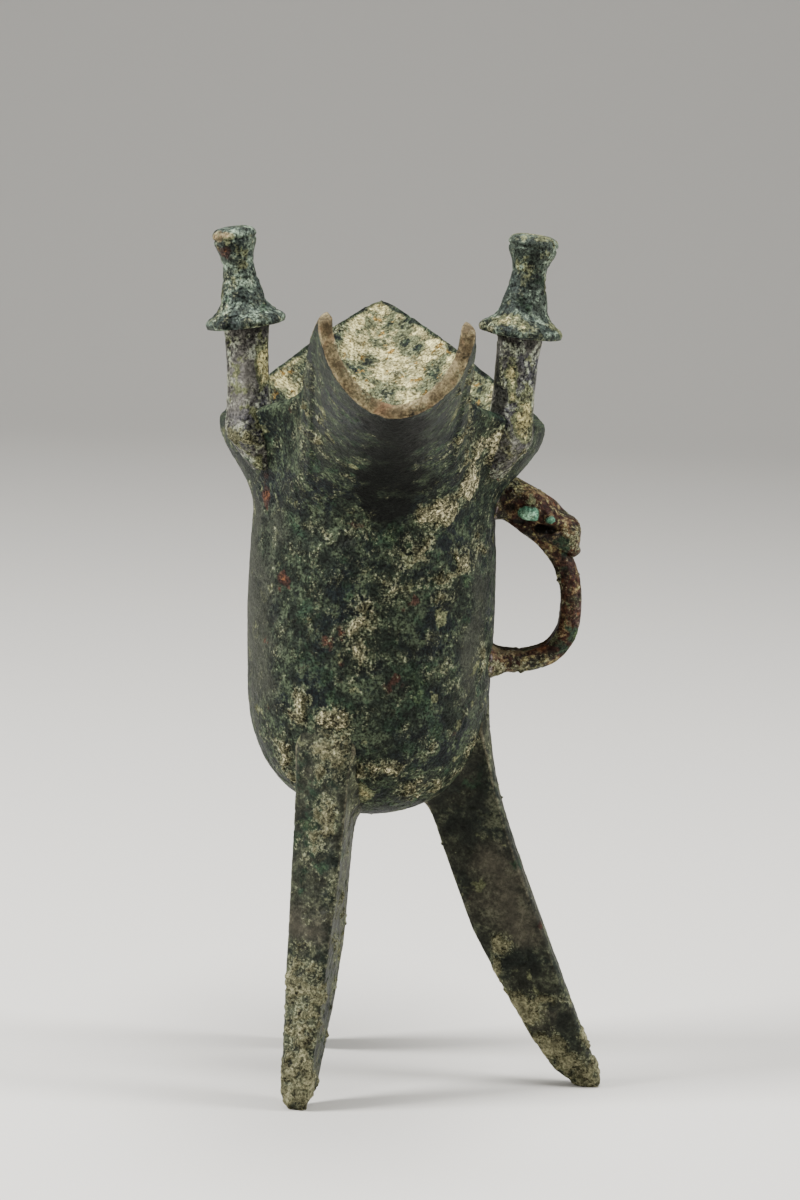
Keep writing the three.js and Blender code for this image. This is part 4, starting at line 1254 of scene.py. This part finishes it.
handle = {
    "waist": 27.5,
    "belly": 113.0,
    "width": 8.6,
    "thick": 4.7,
    "strapStart": 26.3,  # neither piece reaches further in than the middle of the cup's wall
    "headStart": 27.8,
    "rootFlow": 1.3,
    "widen": 0.35,  # how much wider the strap is where it comes back to the cup
    "widenFrom": 0.82,  # share of the strap's length
    "rounding": 3,
    "strapEnds": (0.3, 0.3),
    "headEnds": (0.4, 1.5),
    "headPower": 0.8,  # under 1 makes the head's ovals squarer
    "strapColumns": 104,
    "strapRows": 240,
    "headColumns": 168,
    "headRows": 190,
}
# The strap's middle line: out from the waist and up from the belly
strapPath = [
    (-2.5, 23.6), (2.5, 21.2), (7.1, 17.8), (11.5, 14.6), (15.2, 10), (17.4, 4.4),
    (17.9, -1.4), (17, -7.2), (13.7, -11.7), (8.7, -13.6), (3.5, -14), (-2.5, -14.2),
]
# The head along its line: out, up, thick and wide
headStations = [
    (-2.5, 25.6, 3.2, 4.8), (2.9, 24.4, 3.5, 5.2), (7.1, 22, 4.1, 6.3), (10.9, 18.9, 4.3, 7),
    (14.1, 16.2, 4, 6.3), (16.5, 13.8, 3.2, 5.2), (17.9, 11.9, 1.6, 3.8),
]
# Bosses and hollows of the head, the same on both sides: middle, radii and height
headFeatures = [
    ((34.6, 5.6, 133.3), (3.9, 3.0, 3.1), -1.1),  # socket
    ((34.6, 5.8, 133.2), (2.3, 2.4, 2.1), 2.1),  # eye
    ((39.9, 6.0, 132.4), (1.5, 2.0, 1.2), 1.1),  # cheek boss
    ((34.0, 4.2, 137.0), (5.5, 1.5, 1.2), 1.1),  # brow, or a laid-back ear
    ((38.6, 6.4, 130.2), (4.2, 2.6, 0.8), -2.2),  # mouth
    ((32.4, 6.4, 131.4), (4.0, 2.6, 0.8), -1.8),  # its corner, under the eye
    ((42.3, 4.6, 132.2), (0.9, 3.2, 3.4), -0.9),  # crease behind the snout
    ((45.0, 3.0, 130.0), (2.6, 3.2, 2.8), 1.5),  # curled snout
    ((47.2, 1.7, 128.6), (0.8, 0.8, 0.8), -0.8),  # nostril
    ((40.0, 0.0, 135.0), (6.0, 0.8, 3.0), 0.6),  # ridge down the nose
    ((31.0, 0.0, 139.5), (2.0, 2.5, 1.4), 0.8),  # knob where the head leaves the rim
]
handleRecipe = {
    "seed": 67,
    "crustThick": 0.35,
    "levels": {
        "crust": 0.1, "green": 0.2, "rust": 0.3, "film": 0.05,
        "pale": -0.05, "tan": 0.05, "dark": 0.05, "ochre": -0.1,
    },
    "patches": {
        "crust": [
            ((32, -4, 98.5), (9, 7, 3.6), 0.5),
            ((28, 0, 96.5), (5, 9, 4), 0.35),
            ((44.5, -4, 128), (4, 5, 4), 0.25),
            ((40.8, -4.5, 119), (2.2, 4, 9), 0.4),
            ((30, -3, 138), (5, 6, 4), 0.3),
        ],
        "tan": [
            ((34, 0, 101.8), (12, 9, 1.8), 0.75),
            ((40, 0, 104.5), (5, 9, 4), 0.45),
            ((28.5, -3, 104), (2.5, 6, 5), 0.9),
        ],
        "teal": [
            ((34.5, -7.5, 133.2), (4.0, 4, 3.3), 1.15),
            ((39.9, -8, 132.4), (2.2, 3, 1.8), 0.9),
            ((34.5, 7.5, 133.2), (4.0, 4, 3.3), 1.0),
        ],
        "green": [
            ((46, -3.5, 106), (3, 4, 4), 0.5),
            ((43, -3.5, 118), (3, 4, 5), 0.4),
            ((44, -4, 103), (4, 4, 3), 0.4),
            ((44, -4, 126), (4, 5, 5), 0.4),
        ],
        "rust": [
            ((36, 0, 102.5), (10, 8, 2.4), 1.0),
            ((40.5, 0, 106), (3, 8, 4), 0.7),
            ((45, -2, 120), (5, 6, 10), 0.5),
            ((40, 0, 137), (4, 6, 3), 0.4),
        ],
        "dark": [
            # Painted shade: these four fill the mouth and its corners with black, where shadow falls between
            # the head and the strap
            ((38.6, -7, 130.1), (5, 4, 1.5), 1.6),
            ((38.6, 7, 130.1), (5, 4, 1.5), 1.6),
            ((32.4, -7, 131.3), (5, 4, 1.5), 1.6),
            ((32.4, 7, 131.3), (5, 4, 1.5), 1.6),
            ((31, -6, 134.5), (2.4, 4, 2.6), 0.9),
            ((46, -2, 112), (3, 5, 6), 0.3),
        ],
        "film": [((48, 0, 112), (3, 8, 14), 0.55)],
    },
}


def sweptGrid(line, ring):
    # Rings across a line in the plane through the cup's axis: first number out of the curve, second sideways
    along = np.gradient(line, axis=0)
    along = along / sizeOf(along)
    out = np.stack([-along[:, 1], along[:, 0]], axis=-1)
    grid = np.zeros((len(line), ring.shape[-2], 3))
    grid[..., 0] = line[:, None, 0] + out[:, None, 0] * ring[..., 0]
    grid[..., 1] = ring[..., 1]
    grid[..., 2] = line[:, None, 1] + out[:, None, 1] * ring[..., 0]
    return grid


def makeStrap():
    # A flat-backed section swept along the loop, a little wider where it comes back to the cup
    share = np.linspace(0, 1, handle["strapRows"])
    line = throughPoints(strapPath, share) + np.array([handle["waist"], handle["belly"]])
    section = [
        (-0.4, -1), (-1, -0.72), (-1, 0.72), (-0.4, 1), (0.35, 1),
        (1, 0.66), (1.08, 0), (1, -0.66), (0.35, -1),
    ]
    corners = np.array(section) * np.array([handle["thick"] / 2, handle["width"] / 2])
    ring = ringSection(corners, handle["strapColumns"], handle["rounding"])
    ring = np.tile(ring, (len(share), 1, 1))
    ring[..., 1] *= 1 + handle["widen"] * smoothStep(share, handle["widenFrom"], 1)[:, None]
    grid = sweptGrid(line, ring)

    def rootOut(grid, normal, firstPole, lastPole):
        # Swells where it meets the cup, and stops in the middle of the cup's wall
        away = np.clip(np.hypot(grid[..., 0], grid[..., 1]) - wall["bellyRadius"], 0, None)
        swell = handle["rootFlow"] * np.exp(-away / handle["rootFlow"])
        grid = grid + normal * swell[..., None]
        grid[..., 0] = np.maximum(grid[..., 0], handle["strapStart"])
        return grid, grid[0].mean(0), grid[-1].mean(0)

    weatheredTube(
        "handleStrap", grid, handle["strapEnds"], handleRecipe, finish["cupritePatina"],
        "handle_loop", rootOut,
    )


def makeHead():
    # Squared ovals, sized by the stations, swept along the head's own line
    share = np.linspace(0, 1, handle["headRows"])
    stations = throughPoints(headStations, share)
    line = stations[:, :2] + np.array([handle["waist"], handle["belly"]])
    turn = np.linspace(0, 2 * np.pi, handle["headColumns"], endpoint=False)
    ring = np.stack([-np.sin(turn), -np.cos(turn)], axis=-1)
    ring = np.sign(ring) * np.abs(ring) ** handle["headPower"]
    ring = ring[None] * stations[:, None, 2:]

    def face(grid, normal, firstPole, lastPole):
        # The same bosses and hollows on both sides
        mirrored = grid.copy()
        mirrored[..., 1] = np.abs(grid[..., 1])
        grid = grid + normal * bosses(mirrored, headFeatures)[..., None]
        grid[..., 0] = np.maximum(grid[..., 0], handle["headStart"])
        return grid, grid[0].mean(0), lastPole

    weatheredTube(
        "beastHead", sweptGrid(line, ring), handle["headEnds"], handleRecipe, finish["cupritePatina"],
        "handle_head", face,
    )


makeStrap()
makeHead()
print("handle made")


# The legs

legs = {
    "foot": 0.6,  # the lowest ring's height, with its rounded end below it
    "rootHeight": 85.0,
    "rootTop": 93.0,  # where its outer face has run out under the bowl's surface
    "inset": 1.5,
    "kneeHeight": 74.0,
    "softness": 15.0,  # over how much height the knee bends
    "width": 13.2,
    "footWidth": 4.2,
    "depth": 16.8,
    "footDepth": 5.6,
    "edge": 0.9,  # how far the outer edges are cut back
    "swelling": 0.25,  # how far the outer face's middle stands out
    "ridge": 1.2,  # half the width of the inner ridge
    "ridgeShare": 0.35,  # at most this share of the depth, and its blunt back this share of the ridge
    "taperTop": 36.0,
    "taperPower": 0.45,
    "broadTop": 68.0,
    "broadPower": 0.5,
    "toeRound": 1.5,
    "toeHeight": 4.0,
    "toeSides": 0.4,  # how much of the toe's rounding its sides get
    "rootFlow": 1.6,  # how far the root's sides swell where they meet the bowl
    "flowFade": (-12, 4),  # and between which heights, from the root's, that runs out
    "faceFlat": 0.85,  # how much less the outer face swells
    "bareFields": {"crust": -0.26, "film": 0.1, "green": -0.1},  # what a bare side gains and lacks
    "rounding": 2,
    "ends": (0.6, 0.3),
    "columns": 132,
    "rows": 320,
    "each": {
        "legHandle": {"node": "leg_handle", "turn": 0.0, "reach": 57.4, "aside": -0.6, "bare": 1.0},
        "legFront": {"node": "leg_front", "turn": 242.0, "reach": 35.6, "aside": 3.1, "bare": -0.3},
        "legBack": {"node": "leg_back", "turn": 118.0, "reach": 35.6, "aside": -3.1, "bare": 0.3},
    },
}
legRecipe = {
    "seed": 83,
    "crustThick": 0.6,
    "levels": {
        "crust": 0.12, "green": 0.16, "rust": 0.1, "film": 0.16, "pale": -0.1,
        "tan": -0.1, "dark": 0.05, "ochre": -0.4, "chalk": -0.24,
    },
    "patches": {
        "crust": [
            # The front leg
            ((-8, -26.5, 80), (6, 6, 9), 0.62),
            ((-8.5, -27.1, 67), (3.5, 5, 8), 0.6),
            ((-11.7, -26.3, 58.5), (5, 5, 4.5), 0.55),
            ((-12.8, -30.3, 25), (7, 8, 15), 0.62),
            ((-13.5, -32, 8), (7, 7, 14), 0.6),
            # The handle's leg
            ((32.2, -3.5, 33), (4.2, 5, 4.2), 1.2),
            ((31.5, -2, 26), (2.4, 5, 6), 1.0),
            ((37.5, -2, 17.5), (8, 7, 7), 1.3),
            ((42, -3, 20.8), (8, 6, 2.2), 0.9),
            ((43.5, -2.5, 9), (8, 7, 6), 1.3),
            ((49, -3.5, 6), (6, 6, 5), 1.1),
            ((54, -3, 3), (7, 7, 6), 1.2),
            ((52.5, -3, 12), (2.4, 4, 6), 0.8),
            # The back leg
            ((-13, 30, 22), (6, 8, 16), 0.55),
            ((-11, 26, 66), (6, 7, 12), 0.45),
        ],
        "chalk": [
            ((-8, -26.5, 78), (6, 6, 9), 0.3),
            ((-8.5, -27.1, 67), (3.5, 5, 8), 0.2),
            ((32.2, -3.5, 33), (4.2, 5, 4.2), 0.3),
            ((54, -3, 3), (7, 7, 6), 0.2),
        ],
        "green": [
            ((-11, -25, 66), (9, 9, 24), 0.4),
            ((34.9, -6, 52.6), (3, 4, 3), 0.7),
            ((28, -4, 70), (8, 6, 10), 0.3),
            ((-12, 26, 60), (7, 7, 20), 0.35),
        ],
        "rust": [
            ((41.2, -5.6, 38.6), (2.2, 3, 2.2), 0.75),
            ((47.9, -3.9, 13.8), (3, 4, 3), 0.35),
            ((-14, -33, 3), (5, 5, 5), 0.45),
            ((55, -1, 3), (4, 5, 4), 0.4),
        ],
        "film": [
            ((-12.2, -28.4, 41), (9, 9, 7), 0.6),
            ((34, -4, 47), (11, 6, 18), 0.42),
        ],
        "dark": [
            ((22, -4, 66), (15, 8, 18), 0.62),
            ((47.5, -3.9, 14), (6, 5, 6), 0.9),
            ((40, -5, 27), (9, 5, 8), 0.36),
        ],
    },
}


def bowlDrop(points):
    # How far below the bowl's top a point is, as a share of the bowl's depth
    return np.clip(wall["bowlTop"] - points[..., 2], 0, None) / (wall["bowlTop"] - wall["bottom"])


def bowlDistance(points):
    # About how far outside the bowl a point is: its superellipse value less one, times the radius
    power = wall["bowlPower"]
    across = np.hypot(points[..., 0], points[..., 1]) / wall["bowlRadius"]
    return ((across**power + bowlDrop(points) ** power) ** (1 / power) - 1.0) * wall["bowlRadius"]


def makeLeg(name, spec):
    # A blade: flat outer face, sides drawn in to a narrow inner ridge; straight below a soft knee
    height = np.linspace(legs["foot"], legs["rootTop"], legs["rows"])

    def bend(drop):
        # 0 well above the knee, the drop itself well below it
        return (drop + np.hypot(drop, legs["softness"])) / 2

    straight = wall["bowlRadius"] - legs["inset"]
    bent = bend(legs["kneeHeight"] - height)
    outer = straight + (spec["reach"] - straight) * bent / bend(legs["kneeHeight"])
    toe = legs["toeRound"] * np.clip(1 - height / legs["toeHeight"], 0, 1) ** 2
    taper = np.clip(height / legs["taperTop"], 0, 1) ** legs["taperPower"]
    broad = np.clip(height / legs["broadTop"], 0, 1) ** legs["broadPower"]
    thick = mixed(legs["footDepth"], legs["depth"], taper)
    width = mixed(legs["footWidth"], legs["width"], broad)
    inner = outer - thick + toe
    outer = outer - toe
    half = width / 2 - toe * legs["toeSides"]
    shift = np.full(len(height), spec["aside"])
    edge = legs["edge"]
    ridge = np.minimum(legs["ridge"], legs["ridgeShare"] * (outer - inner))
    blunt = legs["ridgeShare"] * ridge
    corners = [  # out and sideways
        (outer, shift - half + edge),
        (outer + legs["swelling"], shift),
        (outer, shift + half - edge),
        (outer - edge, shift + half),
        (inner + ridge, shift + ridge),
        (inner, shift + blunt),
        (inner, shift - blunt),
        (inner + ridge, shift - ridge),
        (outer - edge, shift - half),
    ]
    corners = np.stack([np.stack(corner, axis=-1) for corner in corners], axis=1)
    ring = ringSection(corners, legs["columns"], legs["rounding"])
    hugging = smoothStep(height, legs["kneeHeight"], legs["rootHeight"])[:, None]
    sag = wall["bowlRadius"] - np.sqrt(wall["bowlRadius"] ** 2 - ring[..., 1] ** 2)
    ring[..., 0] -= hugging * sag  # the flat face bends to the bowl's round where it runs out on it
    turn = math.radians(spec["turn"])
    outward = np.array([math.cos(turn), math.sin(turn), 0.0])
    sideways = np.array([-math.sin(turn), math.cos(turn), 0.0])
    grid = ring[..., :1] * outward + ring[..., 1:] * sideways
    grid[..., 2] = height[:, None]

    def joinBowl(grid, normal, firstPole, lastPole):
        # Swells where it meets the bowl, and stops at the middle of the bowl's wall
        swell = legs["rootFlow"] * np.exp(-np.clip(bowlDistance(grid), 0, None) / legs["rootFlow"])
        fade = (legs["rootHeight"] + rise for rise in legs["flowFade"])
        swell *= 1 - smoothStep(grid[..., 2], *fade)
        swell *= 1 - legs["faceFlat"] * smoothStep(normal @ outward, 0.2, 0.8)
        grid = grid + normal * swell[..., None]
        power = wall["bowlPower"]
        least = 1 - wall["thick"] / 2 / wall["bowlRadius"]
        nearest = wall["bowlRadius"] * np.clip(least**power - bowlDrop(grid) ** power, 0, None) ** (1 / power)
        across = np.hypot(grid[..., 0], grid[..., 1])
        grid[..., :2] *= np.maximum(1.0, nearest / across)[..., None]
        return grid, firstPole, grid[-1].mean(0)

    def bareSides(fields, points, normal):
        # The flat sides stayed smoother than the outer face, or gathered more, as the leg's value says
        side = spec["bare"] * smoothStep(np.abs(normal @ sideways), 0.55, 0.8)
        for field, amount in legs["bareFields"].items():
            fields[field] += amount * side

    weatheredTube(
        name, grid, legs["ends"], legRecipe, finish["greyBrownPatina"],
        spec["node"], joinBowl, bareSides,
    )


for legName, legSpec in legs["each"].items():
    makeLeg(legName, legSpec)
print("legs made")


# Floor and light

stage = {
    "halfWidth": 4.0,
    "front": -3.0,
    "sweepStart": 1.3,  # behind the vessel, where the paper starts to rise
    "sweepRadius": 1.0,
    "sweepPoints": 33,
    "top": 3.5,
    "paper": "#d8d5ce",
    "paperRoughness": 0.9,
    "sky": "#d3d6da",
    "skyLight": 0.16,
    "lightsAim": (0.0, 0.0, 0.1),
    "lights": {  # place and size in metres, then watts
        "leftBox": {"place": (-0.9, -0.32, 0.85), "size": (0.32, 0.5), "power": 30.0},
        "rightBox": {"place": (0.9, -0.12, 0.6), "size": (0.25, 0.6), "power": 13.0},
        "topBox": {"place": (0.05, -0.05, 1.15), "size": (0.4, 0.4), "power": 16.0},
    },
}


def makeStage():
    # Pale paper that lies flat, then rises behind in a quarter circle; three soft boxes and a dim even sky
    turn = np.linspace(0, np.pi / 2, stage["sweepPoints"])
    reach = stage["sweepStart"] + stage["sweepRadius"] * np.sin(turn)
    rise = stage["sweepRadius"] * (1 - np.cos(turn))
    profile = [(stage["front"], 0.0), *zip(reach.tolist(), rise.tolist()), (reach[-1], stage["top"])]
    points = [(side * stage["halfWidth"], y, z) for y, z in profile for side in (-1, 1)]
    faces = [(2 * row, 2 * row + 1, 2 * row + 3, 2 * row + 2) for row in range(len(profile) - 1)]
    mesh = bpy.data.meshes.new("paperSweep")
    mesh.from_pydata(points, [], faces)
    mesh.polygons.foreach_set("use_smooth", np.ones(len(faces), dtype=bool))
    floor = bpy.data.objects.new("paperSweep", mesh)
    bpy.context.scene.collection.objects.link(floor)
    material = bpy.data.materials.new("palePaper")
    material.use_nodes = True
    shader = material.node_tree.nodes["Principled BSDF"]
    shader.inputs["Base Color"].default_value = linear(stage["paper"])
    shader.inputs["Roughness"].default_value = stage["paperRoughness"]
    mesh.materials.append(material)
    world = bpy.data.worlds.new("softRoom")
    world.use_nodes = True
    world.node_tree.nodes["Background"].inputs["Color"].default_value = linear(stage["sky"])
    world.node_tree.nodes["Background"].inputs["Strength"].default_value = stage["skyLight"]
    bpy.context.scene.world = world
    aim = Vector(stage["lightsAim"])
    for name, spec in stage["lights"].items():
        data = bpy.data.lights.new(name, "AREA")
        data.shape = "RECTANGLE"
        data.size, data.size_y = spec["size"]
        data.energy = spec["power"]
        light = bpy.data.objects.new(name, data)
        light.location = spec["place"]
        light.rotation_euler = (aim - Vector(spec["place"])).to_track_quat("-Z", "Y").to_euler()
        bpy.context.scene.collection.objects.link(light)


makeStage()
print("stage made")
